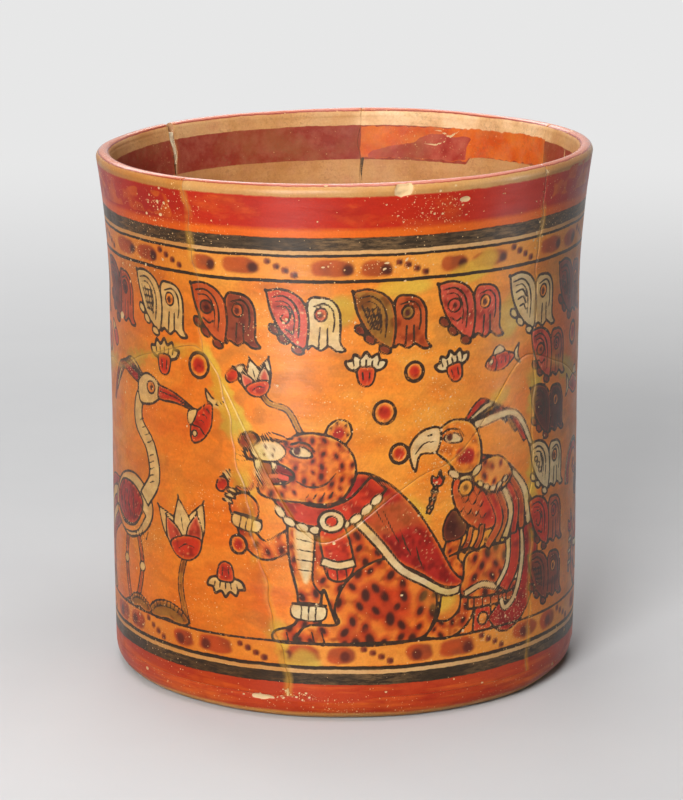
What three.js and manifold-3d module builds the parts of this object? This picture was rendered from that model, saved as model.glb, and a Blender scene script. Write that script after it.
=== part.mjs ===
// A painted clay cylinder vase, mended from its sherds.
// A slab base carries a wall that broke into an upper and a lower course of sherds,
// and a strip of plaster stands in the one crack that was left open.
// Millimetres, +Z up, front towards -Y, origin at the middle of the underside.

import * as THREE from 'three';
import { mergeVertices } from 'three/addons/utils/BufferGeometryUtils.js';
import Module from 'manifold-3d';

const wasm = await Module();
wasm.setup();

// Sizes of the vase
const height = 181;
const rimRadius = 85;
const bodyRadius = 80.8;
const footRadius = 80.2;
const footTaperHeight = 40;
const flareHeight = 47;
const flarePower = 1.6;
const wallThickness = 5.5;
const lipThickness = 5.2;
const baseThickness = 8.5;
const baseEdgeRadius = 6;
const innerFilletRadius = 7;
// The potter's rim isn't level: it stands this much higher at the right than in the middle.
const rimRise = 1.3;

// Sizes of the breaks
const bondGap = 0.3;
const breakWander = 0.6;
const breakWanderLength = 27;
const breakTooth = 0.35;
const breakToothLength = 11;
const crackOpening = 2.2;
const crackDepth = 19;
const plasterRecess = 0.6;
const plasterTopDrop = 2.6;
// The plaster stops where the crack has narrowed to this
const plasterFootWidth = 1.2;

// Facet counts
const facetsRound = 72;
const flareSteps = 6;
const lipSteps = 6;
const edgeSteps = 5;
const filletSteps = 3;
const breakSteps = 28;
const wedgeSteps = 15;

const degree = Math.PI / 180;
// Corners closer than this are one corner
const mergeDistance = 1e-4;
// Degrees that a wedge past a break line covers
const wedgeSpan = 150;
// Cutters reach well past the wall on every side
const reach = 2 * wallThickness;
const cutterInside = footRadius - wallThickness - innerFilletRadius - reach;
const cutterOutside = rimRadius + reach;

// Break lines that run up the wall: degrees round from the front at the lip, and the degrees
// that each leans over by the time it would reach the foot.
const upperBreaks = {
  front_left: { at: -38.3, lean: 9.8 },
  front_right: { at: 51.7, lean: -1.5 },
  right: { at: 104.8, lean: -14 },
  right_back: { at: 117.2, lean: -14 },
  back: { at: 175.5, lean: 4 },
  left_back: { at: 230.1, lean: 8, opens: true },
};
const lowerBreaks = {
  front_left: { at: -41, lean: 30 },
  front_right: { at: 51.7, lean: -1.5 },
  right_back: { at: 128, lean: -9 },
  back: { at: 186, lean: 12 },
  left_back: { at: 264, lean: -8 },
};

// The break between the two courses: degrees round from the front, and its height as a share of
// the whole. It dips deep across the front and wanders less round the back.
const courseBreak = [
  [-38, 0.685], [-5, 0.345], [22, 0.47], [49, 0.65], [85, 0.56],
  [118, 0.44], [176, 0.58], [232, 0.49], [286, 0.61],
];

const courseWaves = 17;

const smooth = (t) => t * t * (3 - 2 * t);

function courseBreakHeight(angle) {
  const first = courseBreak[0][0];
  const turn = first + (((angle / degree - first) % 360) + 360) % 360;
  const knots = [...courseBreak, [first + 360, courseBreak[0][1]]];
  const next = knots.findIndex(([at]) => at > turn);
  const [a, low] = knots[next - 1];
  const [b, high] = knots[next];
  const wander = breakWander * Math.sin(courseWaves * angle);
  return height * (low + (high - low) * smooth((turn - a) / (b - a))) + wander;
}

// Angle of a break line at a height. The wander and the teeth are lengths along the wall.
function breakAngle(line, z) {
  const wander = breakWander * Math.sin((z / breakWanderLength) * 2 * Math.PI + line.at);
  const tooth = breakTooth * Math.sin((z / breakToothLength) * 2 * Math.PI + 2 * line.at);
  return (line.at + line.lean * (1 - z / height)) * degree + (wander + tooth) / bodyRadius;
}

// Width of a break at a height. One crack gapes from the lip down and closes in a point.
function breakWidth(line, z) {
  const gape = Math.sqrt(THREE.MathUtils.clamp(1 - (height - z) / crackDepth, 0, 1));
  return line.opens ? bondGap + (crackOpening - bondGap) * gape : bondGap;
}

// Outer radius of the wall at a height: a foot that narrows a little, a straight wall and a flared rim
const lipCentreHeight = height - lipThickness / 2;
const flareFoot = height - flareHeight;

function outerRadius(z) {
  const flare = THREE.MathUtils.clamp((z - flareFoot) / (lipCentreHeight - flareFoot), 0, 1);
  const foot = THREE.MathUtils.clamp(1 - z / footTaperHeight, 0, 1);
  return bodyRadius + (rimRadius - bodyRadius) * flare ** flarePower - (bodyRadius - footRadius) * foot ** 2;
}

// Over the flare, the wall's thickness goes over into the lip's
function thickness(z) {
  const flare = THREE.MathUtils.clamp((z - flareFoot) / (lipCentreHeight - flareFoot), 0, 1);
  return wallThickness + (lipThickness - wallThickness) * flare;
}

const innerRadius = (z) => outerRadius(z) - thickness(z);

const steps = (count, from, to) =>
  Array.from({ length: count + 1 }, (_, i) => from + ((to - from) * i) / count);

const arc = (radius, centreR, centreZ, from, to, count) =>
  steps(count, from, to).map((a) =>
    new THREE.Vector2(centreR + radius * Math.cos(a), centreZ + radius * Math.sin(a)));

// Section of the wall, up its outside, over the lip, down its inside and round the fillet at its foot
function wallSection() {
  const foot = baseThickness + bondGap;
  const heights = [foot, footTaperHeight / 2, footTaperHeight, ...steps(flareSteps, flareFoot, lipCentreHeight)];
  const outside = heights.map((z) => new THREE.Vector2(outerRadius(z), z));
  const lip = arc(lipThickness / 2, rimRadius - lipThickness / 2, lipCentreHeight, 0, Math.PI, lipSteps);
  const fillet = foot + innerFilletRadius;
  const insideHeights = heights.filter((z) => z > fillet + bondGap).reverse();
  const inside = insideHeights.map((z) => new THREE.Vector2(innerRadius(z), z));
  const hollow = arc(innerFilletRadius, innerRadius(fillet) - innerFilletRadius, fillet,
    0, -Math.PI / 2, filletSteps);
  const loop = [...outside, ...lip.slice(1, -1), ...inside, ...hollow];
  return [...loop, loop[0]];
}

// Section of the base slab: a flat underside, a rounded edge and a flat top
function baseSection() {
  const edge = arc(baseEdgeRadius, footRadius - baseEdgeRadius, baseEdgeRadius,
    -Math.PI / 2, 0, edgeSteps);
  const top = outerRadius(baseThickness);
  return [
    new THREE.Vector2(0, 0),
    ...edge,
    new THREE.Vector2(top, baseThickness),
    new THREE.Vector2(0, baseThickness),
  ];
}

// A revolved section stands upright, with its first facet edge at the front
function revolve(section) {
  const geometry = new THREE.LatheGeometry(section, facetsRound);
  geometry.rotateX(Math.PI / 2);
  return geometry;
}

function movePoints(geometry, move) {
  const points = geometry.getAttribute('position');
  const point = new THREE.Vector3();
  for (let i = 0; i < points.count; i += 1) {
    point.fromBufferAttribute(points, i);
    move(point);
    points.setXYZ(i, point.x, point.y, point.z);
  }
  return geometry;
}

function toSolid(geometry) {
  const bare = geometry.clone();
  bare.deleteAttribute('normal');
  bare.deleteAttribute('uv');
  const merged = mergeVertices(bare, mergeDistance);
  return new wasm.Manifold(new wasm.Mesh({
    numProp: 3,
    vertProperties: new Float32Array(merged.getAttribute('position').array),
    triVerts: new Uint32Array(merged.getIndex().array),
  }));
}

function toGeometry(solid) {
  const mesh = solid.getMesh();
  const geometry = new THREE.BufferGeometry();
  geometry.setAttribute('position', new THREE.BufferAttribute(new Float32Array(mesh.vertProperties), 3));
  geometry.setIndex(new THREE.BufferAttribute(new Uint32Array(mesh.triVerts), 1));
  geometry.computeVertexNormals();
  return geometry;
}

// A ring that holds all of the wall above the break between the courses, shifted up or down
function zoneAboveBreak(shift) {
  const low = cutterInside;
  const high = cutterOutside;
  const corners = [[low, 0], [high, 0], [high, 1], [low, 1], [low, 0]];
  const ring = revolve(corners.map(([r, z]) => new THREE.Vector2(r, z)));
  return toSolid(movePoints(ring, (p) => {
    const angle = Math.atan2(p.x, -p.y);
    p.z = p.z < 0.5 ? courseBreakHeight(angle) + shift : height + reach;
  }));
}

// A wedge that holds all of the wall past a break line, for part of a turn. Its first side follows the
// line straight through the wall, shifted sideways by a share of the break's width and by a length.
function wedgePast(line, turn, share, shift = 0) {
  const low = -reach;
  const high = height + reach;
  const block = new THREE.BoxGeometry(1, 1, 1, wedgeSteps, 1, breakSteps);
  return toSolid(movePoints(block, (p) => {
    const z = low + (high - low) * (p.z + 0.5);
    const radius = cutterOutside + (cutterInside - cutterOutside) * (p.y + 0.5);
    const sideways = share * breakWidth(line, z) + shift;
    const start = breakAngle(line, z) + turn * degree + sideways / radius;
    const angle = start + wedgeSpan * degree * (p.x + 0.5);
    p.set(radius * Math.sin(angle), -radius * Math.cos(angle), z);
  }));
}

// The rim's rise, taken up evenly over the whole height, so that the underside stays flat
const leanWithRim = (p) => {
  p.z += rimRise * (p.x / rimRadius) * (p.z / height);
};

const vase = new THREE.Group();

function addPiece(name, geometry, look) {
  const piece = new THREE.Mesh(movePoints(geometry, leanWithRim), new THREE.MeshStandardMaterial(look));
  piece.geometry.computeVertexNormals();
  piece.name = name;
  vase.add(piece);
}

// Looks: orange slip outside on every sherd, red on the base, pale plaster
const orangeSlip = { color: 0xdd8a3c, roughness: 0.4, metalness: 0 };
const redSlip = { color: 0xb5482a, roughness: 0.45, metalness: 0 };
const plaster = { color: 0xd9ccb0, roughness: 0.9, metalness: 0 };

// The two courses of sherds
const wall = toSolid(revolve(wallSection()));
const upperCourse = wall.intersect(zoneAboveBreak(bondGap / 2));
const lowerCourse = wall.subtract(zoneAboveBreak(-bondGap / 2));

function addSherds(course, lines, names) {
  const breaks = Object.values(lines);
  names.forEach((name, i) => {
    const next = (i + 1) % breaks.length;
    const start = wedgePast(breaks[i], 0, 0.5);
    const end = wedgePast(breaks[next], next === 0 ? 360 : 0, -0.5);
    addPiece(name, toGeometry(course.intersect(start).subtract(end)), orangeSlip);
  });
}

addSherds(upperCourse, upperBreaks, [
  'upper_front_sherd', 'upper_right_sherd', 'upper_right_sliver',
  'upper_back_sherd', 'upper_left_back_sherd', 'upper_left_sherd',
]);
addSherds(lowerCourse, lowerBreaks, [
  'lower_front_sherd', 'lower_right_sherd', 'lower_back_sherd',
  'lower_left_back_sherd', 'lower_left_sherd',
]);

// The plaster strip follows the crack that gapes, a bond gap inside each of its sides, and stops short
// of the lip and of both faces of the wall
function plasterStrip() {
  const line = upperBreaks.left_back;
  const top = lipCentreHeight - plasterTopDrop;
  const footGape = (plasterFootWidth - bondGap) / (crackOpening - bondGap);
  const foot = height - crackDepth * (1 - footGape ** 2);
  const heights = steps(flareSteps, foot, top);
  const outside = heights.map((z) => new THREE.Vector2(outerRadius(z) - plasterRecess, z));
  const inside = heights.reverse().map((z) => new THREE.Vector2(innerRadius(z) + plasterRecess, z));
  const ring = toSolid(revolve([...outside, ...inside, outside[0]]));
  const start = wedgePast(line, 0, -0.5, bondGap);
  const end = wedgePast(line, 0, 0.5, -bondGap);
  return toGeometry(ring.intersect(start).subtract(end));
}

addPiece('plaster_crack_fill', plasterStrip(), plaster);
addPiece('base_slab', revolve(baseSection()), redSlip);

export default vase;
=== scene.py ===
"""A painted clay cylinder vase, mended from its sherds: the finished looks of every piece.

Lengths are millimetres until a mesh is made. A place on the wall is its turn, in radians round from the
front (-Y) towards +X, and its level, the distance up the outside, over the lip and down the inside.
"""

import math
from types import SimpleNamespace

import bpy
import mathutils
import numpy as np
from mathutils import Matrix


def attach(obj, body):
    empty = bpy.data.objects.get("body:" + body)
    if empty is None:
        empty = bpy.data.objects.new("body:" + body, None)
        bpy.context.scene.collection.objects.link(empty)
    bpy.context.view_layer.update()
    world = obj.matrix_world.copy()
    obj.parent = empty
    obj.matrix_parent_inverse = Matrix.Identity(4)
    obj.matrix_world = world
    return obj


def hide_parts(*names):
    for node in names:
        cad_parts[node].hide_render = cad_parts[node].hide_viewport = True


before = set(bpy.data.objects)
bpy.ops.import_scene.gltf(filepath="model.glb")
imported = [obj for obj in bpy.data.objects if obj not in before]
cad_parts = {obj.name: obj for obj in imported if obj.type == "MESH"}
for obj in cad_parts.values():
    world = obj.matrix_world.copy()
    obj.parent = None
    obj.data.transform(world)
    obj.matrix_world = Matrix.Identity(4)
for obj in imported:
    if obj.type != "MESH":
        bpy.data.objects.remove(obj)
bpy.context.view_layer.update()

# Sizes of the vase, in millimetres, as the frame's solids have them
METRE = 1000
HEIGHT = 181
RIM_RADIUS = 85
BODY_RADIUS = 80.8
FOOT_RADIUS = 80.2
FOOT_TAPER_HEIGHT = 40
FLARE_HEIGHT = 47
FLARE_POWER = 1.6
WALL_THICKNESS = 5.5
LIP_THICKNESS = 5.2
BASE_THICKNESS = 8.5
BASE_EDGE_RADIUS = 6
INNER_FILLET_RADIUS = 7
RIM_RISE = 1.3

# Sizes of the breaks
BREAK_WANDER = 0.6
BREAK_WANDER_LENGTH = 27
BREAK_TOOTH = 0.35
BREAK_TOOTH_LENGTH = 11
COURSE_WAVES = 17
CRACK_OPENING = 2.9
CRACK_DEPTH = 19
# The glued joins are hairlines, so the dressed sherds meet more closely than the solids do
HAIRLINE = 0.08
PLASTER_GAP = 0.1
PLASTER_RECESS = 0.25
PLASTER_TOP_DROP = 0.8
PLASTER_DEPTH = 14.7

LIP_RADIUS = LIP_THICKNESS / 2
LIP_CENTRE_HEIGHT = HEIGHT - LIP_RADIUS
FLARE_FOOT = HEIGHT - FLARE_HEIGHT
WALL_FOOT = BASE_THICKNESS + HAIRLINE
LIP_START = LIP_CENTRE_HEIGHT
LIP_END = LIP_START + math.pi * LIP_RADIUS
LEVEL_SPAN = LIP_END + LIP_CENTRE_HEIGHT

# Break lines that run up the wall: degrees round from the front at the lip, and the degrees that each
# leans over by the time it would reach the foot
UPPER_BREAKS = [(-38.3, 9.8), (51.7, -1.5), (104.8, -14), (117.2, -14), (175.5, 4), (230.1, 8)]
LOWER_BREAKS = [(-41, 30), (51.7, -1.5), (128, -9), (186, 12), (264, -8)]
OPEN_BREAK = UPPER_BREAKS[5]
UPPER_NAMES = ["upper_front_sherd", "upper_right_sherd", "upper_right_sliver",
               "upper_back_sherd", "upper_left_back_sherd", "upper_left_sherd"]
LOWER_NAMES = ["lower_front_sherd", "lower_right_sherd", "lower_back_sherd",
               "lower_left_back_sherd", "lower_left_sherd"]
# The break between the two courses: degrees round from the front, and its share of the height
COURSE_BREAK = np.array([(-38, 0.685), (-5, 0.345), (22, 0.47), (49, 0.65), (85, 0.56), (118, 0.44),
                         (176, 0.58), (232, 0.49), (286, 0.61), (322, 0.685)])

# Steps of the dressed meshes
FINE_STEP = 0.5
INNER_STEP = 0.8
COARSE_STEP = 1.5
EDGE_STEPS = (0, 0.12, 0.3, 0.55)
EDGE_WEAR = 0.14
EDGE_WEAR_WIDTH = 0.3


def smooth(t):
    t = np.clip(t, 0, 1)
    return t * t * (3 - 2 * t)


def between(value, low, high, rise, fall):
    """1 between two limits, fading to 0 within these lengths of them, and 0 outside."""
    return smooth((value - low) / rise) * smooth((high - value) / fall)


def half_turn(angle):
    """An angle brought to between half a turn back and half a turn on."""
    return (angle + math.pi) % (2 * math.pi) - math.pi


def flare_at(z):
    return np.clip((z - FLARE_FOOT) / (LIP_CENTRE_HEIGHT - FLARE_FOOT), 0, 1)


def outer_radius(z):
    foot = np.clip(1 - z / FOOT_TAPER_HEIGHT, 0, 1)
    flare = (RIM_RADIUS - BODY_RADIUS) * flare_at(z) ** FLARE_POWER
    return BODY_RADIUS + flare - (BODY_RADIUS - FOOT_RADIUS) * foot**2


def inner_radius(z):
    wall = outer_radius(z) - WALL_THICKNESS - (LIP_THICKNESS - WALL_THICKNESS) * flare_at(z)
    drop = np.clip(WALL_FOOT + INNER_FILLET_RADIUS - z, 0, INNER_FILLET_RADIUS)
    return wall - INNER_FILLET_RADIUS + np.sqrt(INNER_FILLET_RADIUS**2 - drop**2)


def course_height(turn):
    first = COURSE_BREAK[0, 0]
    around = first + (np.degrees(turn) - first) % 360
    last = len(COURSE_BREAK) - 2
    knot = np.clip(np.searchsorted(COURSE_BREAK[:, 0], around, side="right") - 1, 0, last)
    a, low = np.moveaxis(COURSE_BREAK[knot], -1, 0)
    b, high = np.moveaxis(COURSE_BREAK[knot + 1], -1, 0)
    wander = BREAK_WANDER * np.sin(COURSE_WAVES * turn)
    return HEIGHT * (low + (high - low) * smooth((around - a) / (b - a))) + wander


def break_turn(line, z):
    at, lean = line
    wander = BREAK_WANDER * np.sin(z / BREAK_WANDER_LENGTH * 2 * math.pi + at)
    tooth = BREAK_TOOTH * np.sin(z / BREAK_TOOTH_LENGTH * 2 * math.pi + 2 * at)
    return np.radians(at + lean * (1 - z / HEIGHT)) + (wander + tooth) / BODY_RADIUS


def break_half_width(line, z):
    gape = np.sqrt(np.clip(1 - (HEIGHT - z) / CRACK_DEPTH, 0, 1)) if line == OPEN_BREAK else 0 * z
    return (HAIRLINE + (CRACK_OPENING - HAIRLINE) * gape) / 2


# Slip colours, as red, green and blue out of 255
ORANGE = (241, 141, 46)
GOLD = (238, 178, 78)
AMBER = (238, 154, 66)
PALE_AMBER = (236, 176, 104)
CREAM = (226, 201, 152)
PALE_CREAM = (236, 214, 168)
PALE_TAN = (236, 186, 116)
CHEST_TAN = (232, 160, 88)
FRUIT_TAN = (214, 168, 112)
SHELL_TAN = (214, 150, 92)
RED = (196, 56, 30)
DEEP_RED = (170, 40, 30)
HAUNCH_RED = (206, 72, 30)
NOSE_RED = (124, 40, 26)
MOUTH_RED = (120, 30, 22)
ROSE = (206, 84, 64)
FLAME = (232, 108, 42)
RUST = (190, 88, 40)
BROWN = (132, 60, 36)
DARK_BROWN = (86, 42, 30)
OLIVE = (158, 112, 46)
COAT = (226, 126, 46)
COAT_HALO = (176, 56, 24)
COAT_SPOT = (58, 26, 17)
IVORY = (238, 200, 150)
MEND = (222, 182, 66)
MEND_GREEN = (196, 168, 66)

# The unrolled wall that the slip is painted on: columns run round it and rows run up it
ROUND = 2 * math.pi * BODY_RADIUS
COLUMNS = 2031
CELL = ROUND / COLUMNS
PAINT_TOP = 162
ROWS = int(PAINT_TOP / CELL)
FAR = 2.5
# Rows of the table behind each noise, after which it repeats up the wall
NOISE_ROWS = 61

# Heights of the painted zones on the wall
SPOTS_LOW = (19.75, 27)
SPOTS_HIGH = (149.6, 157.1)
GROUND_LINE = 27.4
SIGNS_MIDDLE = 136.6
# The painter's brush left lines of this share of the widths given below
LINE_WEIGHT = 0.95
# A brush line is painted in parts of this many stretches
LINE_PART = 6
# How an old stain darkens each colour of slip, and how strong it is on cream and on the rest
STAIN = (0.72, 0.58, 0.52)
STAIN_ON_CREAM = 0.2
STAIN_ON_REST = 0.85
# Share of the red slip that keeps clear of pale flecks
FLECKS = 0.975

chance = np.random.default_rng(7)
slip = np.zeros((ROWS, COLUMNS, 3))
ink = np.full((ROWS, COLUMNS), FAR)


def lattice(turn, up, across, along, seed):
    """Smooth noise from 0 to 1 round the wall, with cells of these lengths, that closes on itself."""
    cells = max(3, round(ROUND / across))
    table = np.random.default_rng(seed).random((NOISE_ROWS, cells))
    a = np.asarray(turn) / (2 * math.pi) * cells
    b = np.asarray(up) / along
    i = np.floor(a).astype(int)
    j = np.floor(b).astype(int)
    u = smooth(a - i)
    v = smooth(b - j)

    def row_at(number):
        line = number % NOISE_ROWS
        return table[line, i % cells] * (1 - u) + table[line, (i + 1) % cells] * u

    return row_at(j) * (1 - v) + row_at(j + 1) * v


def mix(a, b, share):
    share = np.asarray(share)[..., None]
    return np.asarray(a) * (1 - share) + np.asarray(b) * share


def spin(degrees):
    return complex(math.cos(math.radians(degrees)), math.sin(math.radians(degrees)))


class Place:
    """Where a motif is drawn: its foot on the unrolled wall, its scale, its facing and its tilt."""

    def __init__(self, s, z, scale=1.0, facing=1, tilt=0.0):
        self.origin = complex(s, z)
        self.scale = scale
        self.facing = facing
        self.turn = spin(tilt)

    def put(self, points):
        local = np.array([complex(self.facing * x, y) for x, y in points])
        return self.origin + self.scale * self.turn * local

    def at(self, x, y, scale=1.0, facing=1, tilt=0.0):
        """A place in this one, for a motif that is part of another."""
        spot = self.put([(x, y)])[0]
        inner = Place(spot.real, spot.imag, self.scale * scale, self.facing * facing)
        inner.turn = self.turn * spin(self.facing * tilt)
        return inner


class Window:
    """The cells of the wall round a line, with the places of their middles."""

    def __init__(self, line, margin):
        left = math.floor((line.real.min() - margin) / CELL)
        right = math.ceil((line.real.max() + margin) / CELL)
        low = max(0, math.floor((line.imag.min() - margin) / CELL))
        high = min(ROWS, math.ceil((line.imag.max() + margin) / CELL))
        columns = np.arange(left, right)
        rows = np.arange(low, max(high, low))
        self.area = np.ix_(rows, columns % COLUMNS)
        self.s = (columns + 0.5) * CELL
        self.z = (rows + 0.5) * CELL
        self.cell = self.s + 1j * self.z[:, None]
        self.turn = self.cell.real / BODY_RADIUS
        self.up = self.cell.imag

    def inside(self, line):
        """Which cells lie inside a closed line, by even and odd crossings."""
        mask = np.zeros(self.cell.shape, bool)
        for p, q in zip(line, np.roll(line, -1)):
            rows = np.flatnonzero((p.imag > self.z) != (q.imag > self.z))
            if len(rows):
                crossing = p.real + (self.z[rows] - p.imag) / (q.imag - p.imag) * (q.real - p.real)
                mask[rows] ^= self.s < crossing[:, None]
        return mask


def curve(points, closed, steps=7):
    """A Catmull-Rom curve through the points. A point given twice makes a corner."""
    if closed:
        knots = np.concatenate([points[-1:], points, points[:2]])
    else:
        knots = np.concatenate([2 * points[:1] - points[1:2], points, 2 * points[-1:] - points[-2:-1]])
    a, b, c, d = (knots[k:len(knots) - 3 + k, None] for k in range(4))
    t = np.linspace(0, 1, steps, endpoint=False)
    spans = 0.5 * (2 * b + (c - a) * t + (2 * a - 5 * b + 4 * c - d) * t**2 + (3 * b - a - 3 * c + d) * t**3)
    line = spans.ravel()
    return line if closed else np.append(line, knots[-2])


def depth_inside(mask, cells):
    """How deep each cell lies inside a mask, from 0 at its edge to 1 this many cells in."""
    depth = np.zeros(mask.shape)
    core = np.pad(mask, 1)
    for _ in range(cells):
        depth += core[1:-1, 1:-1]
        shrunk = core.copy()
        shrunk[1:-1, 1:-1] &= core[:-2, 1:-1] & core[2:, 1:-1] & core[1:-1, :-2] & core[1:-1, 2:]
        core = shrunk
    return depth / cells


def brushed_slip(turn, up, colour):
    """A colour of slip with its brush marks and old stains, and the brush marks by themselves."""
    brush = lattice(turn, up, 5, 3, 11) * 0.6 + lattice(turn, up, 1.6, 1.2, 12) * 0.4
    fresh = np.asarray(colour, float) * (0.90 + 0.2 * brush[..., None])
    cloud = 0.6 * lattice(turn, up, 3.4, 2.6, 14) + 0.4 * lattice(turn, up, 1.2, 1, 15)
    strength = STAIN_ON_CREAM if colour == CREAM else STAIN_ON_REST
    return mix(fresh, fresh * STAIN, strength * smooth((cloud - 0.5) / 0.25)), brush


def fill(place, points, colour, rim=None, spread=8, corners=False):
    """Fills an outline with slip, which pales towards its rim as it dried, and hides what lies under it."""
    line = place.put(points)
    line = line if corners else curve(line, True)
    window = Window(line, 1)
    mask = window.inside(line)
    fresh, brush = brushed_slip(window.turn, window.up, colour)
    if rim is not None:
        fresh = mix(rim, fresh, smooth(depth_inside(mask, spread) * 1.1 + 0.35 * (brush - 0.5)))
    if colour in (RED, DEEP_RED, ROSE):
        tall, wide = mask.shape
        flecks = chance.random((tall // 2 + 1, wide // 2 + 1)) > FLECKS
        flecks = flecks.repeat(2, 0).repeat(2, 1)[:tall, :wide]
        fresh = mix(fresh, IVORY, flecks * (0.2 + 0.8 * brush))
    slip[window.area] = np.where(mask[..., None], fresh, slip[window.area])
    ink[window.area] = np.where(mask, FAR, ink[window.area])
    return mask, window


def stroke(place, points, width=0.75, closed=False, taper=0.0, corners=False):
    """One brush line. Its half width breathes along the line, and thins at open ends by the taper."""
    line = place.put(points)
    line = line if corners else curve(line, closed)
    line = np.append(line, line[0]) if closed else line
    along = np.linspace(0, 1, len(line))
    breath = 0.82 + 0.3 * lattice(line.real / BODY_RADIUS, line.imag, 4, 4, 21)
    half = 0.5 * LINE_WEIGHT * width * breath * (1 - taper * (2 * np.abs(along - 0.5)) ** 3)
    for first in range(0, len(line) - 1, LINE_PART):
        knots = line[first:first + LINE_PART + 1]
        window = Window(knots, FAR * 0.5 + width)
        if not len(window.z):
            continue
        start, step = knots[:-1], np.diff(knots)
        gone = window.cell[..., None] - start
        share = np.clip((gone * np.conj(step)).real / np.maximum(np.abs(step), 1e-6) ** 2, 0, 1)
        reach = half[first:first + LINE_PART + 1]
        nearest = (np.abs(gone - share * step) - reach[:-1] * (1 - share) - reach[1:] * share).min(-1)
        ink[window.area] = np.minimum(ink[window.area], nearest)


def shape(place, points, colour, rim=None, width=0.75, spread=8, corners=False):
    """A filled outline with a brush line round it."""
    filled = fill(place, points, colour, rim, spread, corners)
    if width:
        stroke(place, points, width, closed=True, corners=corners)
    return filled


def ribbon(place, points, width, colour, rim=None, line=0.7, taper=0.0):
    """A band of even or tapering width along a curve, outlined, such as a stem, a leg or a plume."""
    spine = curve(np.array([complex(*point) for point in points]), False, 5)
    step = np.gradient(spine)
    side = 1j * step / np.maximum(np.abs(step), 1e-9)
    half = 0.5 * width * (1 - taper * np.linspace(0, 1, len(spine)))
    edge = np.concatenate([spine + side * half, (spine - side * half)[::-1]])
    return shape(place, [(p.real, p.imag) for p in edge], colour, rim, line, 5, corners=True)


def blob(place, x, y, across, up, colour, rim=None, width=0.7, tilt=0.0):
    """A round or oval spot of slip with its brush line."""
    oval = [complex(across * math.cos(a), up * math.sin(a)) * spin(tilt) for a in np.arange(8) * math.pi / 4]
    return shape(place, [(x + p.real, y + p.imag) for p in oval], colour, rim, width, 4)


def pelt(filled, spacing, size):
    """Cat's spots over a filled shape: dark hearts that bleed into a red-brown halo."""
    mask, window = filled
    s, z = window.s, window.z
    kept = []
    for _ in range(int(len(s) * len(z) * CELL**2 / spacing**2 * 3)):
        spot = complex(chance.uniform(s[0], s[-1]), chance.uniform(z[0], z[-1]))
        if all(abs(spot - other) > spacing for other in kept):
            kept.append(spot)
    colour = slip[window.area]
    for spot in kept:
        radius = size * chance.uniform(0.75, 1.25)
        lean = (window.cell - spot) * complex(1, chance.uniform(-0.9, 0.9))
        near = np.hypot(lean.real * 1.2, lean.imag * 0.75) / radius
        colour = mix(colour, COAT_HALO, smooth((1.9 - near) / 1.0) * mask * 0.7)
        colour = mix(colour, COAT_SPOT, smooth((1.0 - near) / 0.5) * mask * 0.93)
    slip[window.area] = colour


def wash(s, z, across, up, colour, strength, tilt):
    """A soft-edged patch of later overpaint."""
    place = Place(s, z, tilt=tilt)
    corners = [(side * across, end * up) for side in (-1, 1) for end in (-1, 1)]
    window = Window(place.put(corners), 4)
    cell = (window.cell - place.origin) / place.turn
    ragged = lattice(window.turn, window.up, 7, 6, 31) - 0.5
    near = np.hypot(cell.real / across, cell.imag / up) + 0.55 * ragged
    slip[window.area] = mix(slip[window.area], colour, strength * smooth((1 - near) / 0.45))


# The motifs. Each is drawn at a place, in millimetres up and across from it, and faces right.

def mirrored(half, *middle):
    """An outline that is the same on both sides: its left half, its middle and its right half."""
    return [*half, *middle, *((-x, y) for x, y in reversed(half))]


def row(place, count, first, steps, width, taper=0.0):
    """Like brush lines in a row: the points of the first, and how far each moves from line to line."""
    for k in range(count):
        points = [(x + k * u, y + k * v) for (x, y), (u, v) in zip(first, steps)]
        stroke(place, points, width, taper=taper)


def dots(place, spots, size, colour=DARK_BROWN, width=0.0):
    for x, y in spots:
        blob(place, x, y, size, size, colour, width=width)


def eye(place, x, y, size):
    spot = place.at(x, y, size)
    shape(spot, [(-4, -1), (-1.6, 1.9), (2, 2.2), (4.4, 0.6), (2.4, -1.2), (-1.4, -1.8)], CREAM, width=0.85)
    fill(spot, [(0.6, 2.2), (0.8, -0.4), (2.2, -0.8), (3.2, 0.6), (2.6, 2)], DARK_BROWN)
    stroke(spot, [(-5.2, 0.4), (-2, 3.6), (2.6, 3.9), (5.8, 1.6)], 0.9, taper=0.5)


def beads(place, points, size):
    """A string of oval beads laid end to end along a curve."""
    line = curve(np.array([complex(*point) for point in points]), False, 12)
    length = np.append(0, np.cumsum(np.abs(np.diff(line))))
    count = max(2, round(length[-1] / (2.1 * size)))
    for k in range(count):
        centre = (k + 0.5) / count * length[-1]
        bead, ahead = np.interp([centre, centre + 0.3], length, line)
        tilt = math.degrees(np.angle(ahead - bead))
        blob(place, bead.real, bead.imag, 0.5 * length[-1] / count, size * 0.62, CREAM, width=0.65, tilt=tilt)


def cuff(place, x, y, across, up, tilt):
    """A wrapped cream band with upright bars."""
    band = place.at(x, y, tilt=tilt)
    shape(band, mirrored([(-across, -up), (-across * 1.05, up)]), CREAM, width=0.7)
    row(band, 3, [(-across / 2, -up), (-across / 2, up)], [(across / 2, 0)] * 2, 0.6)
    stroke(band, [(-across * 1.15, up), (across * 1.15, up)], 1.1)


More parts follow.
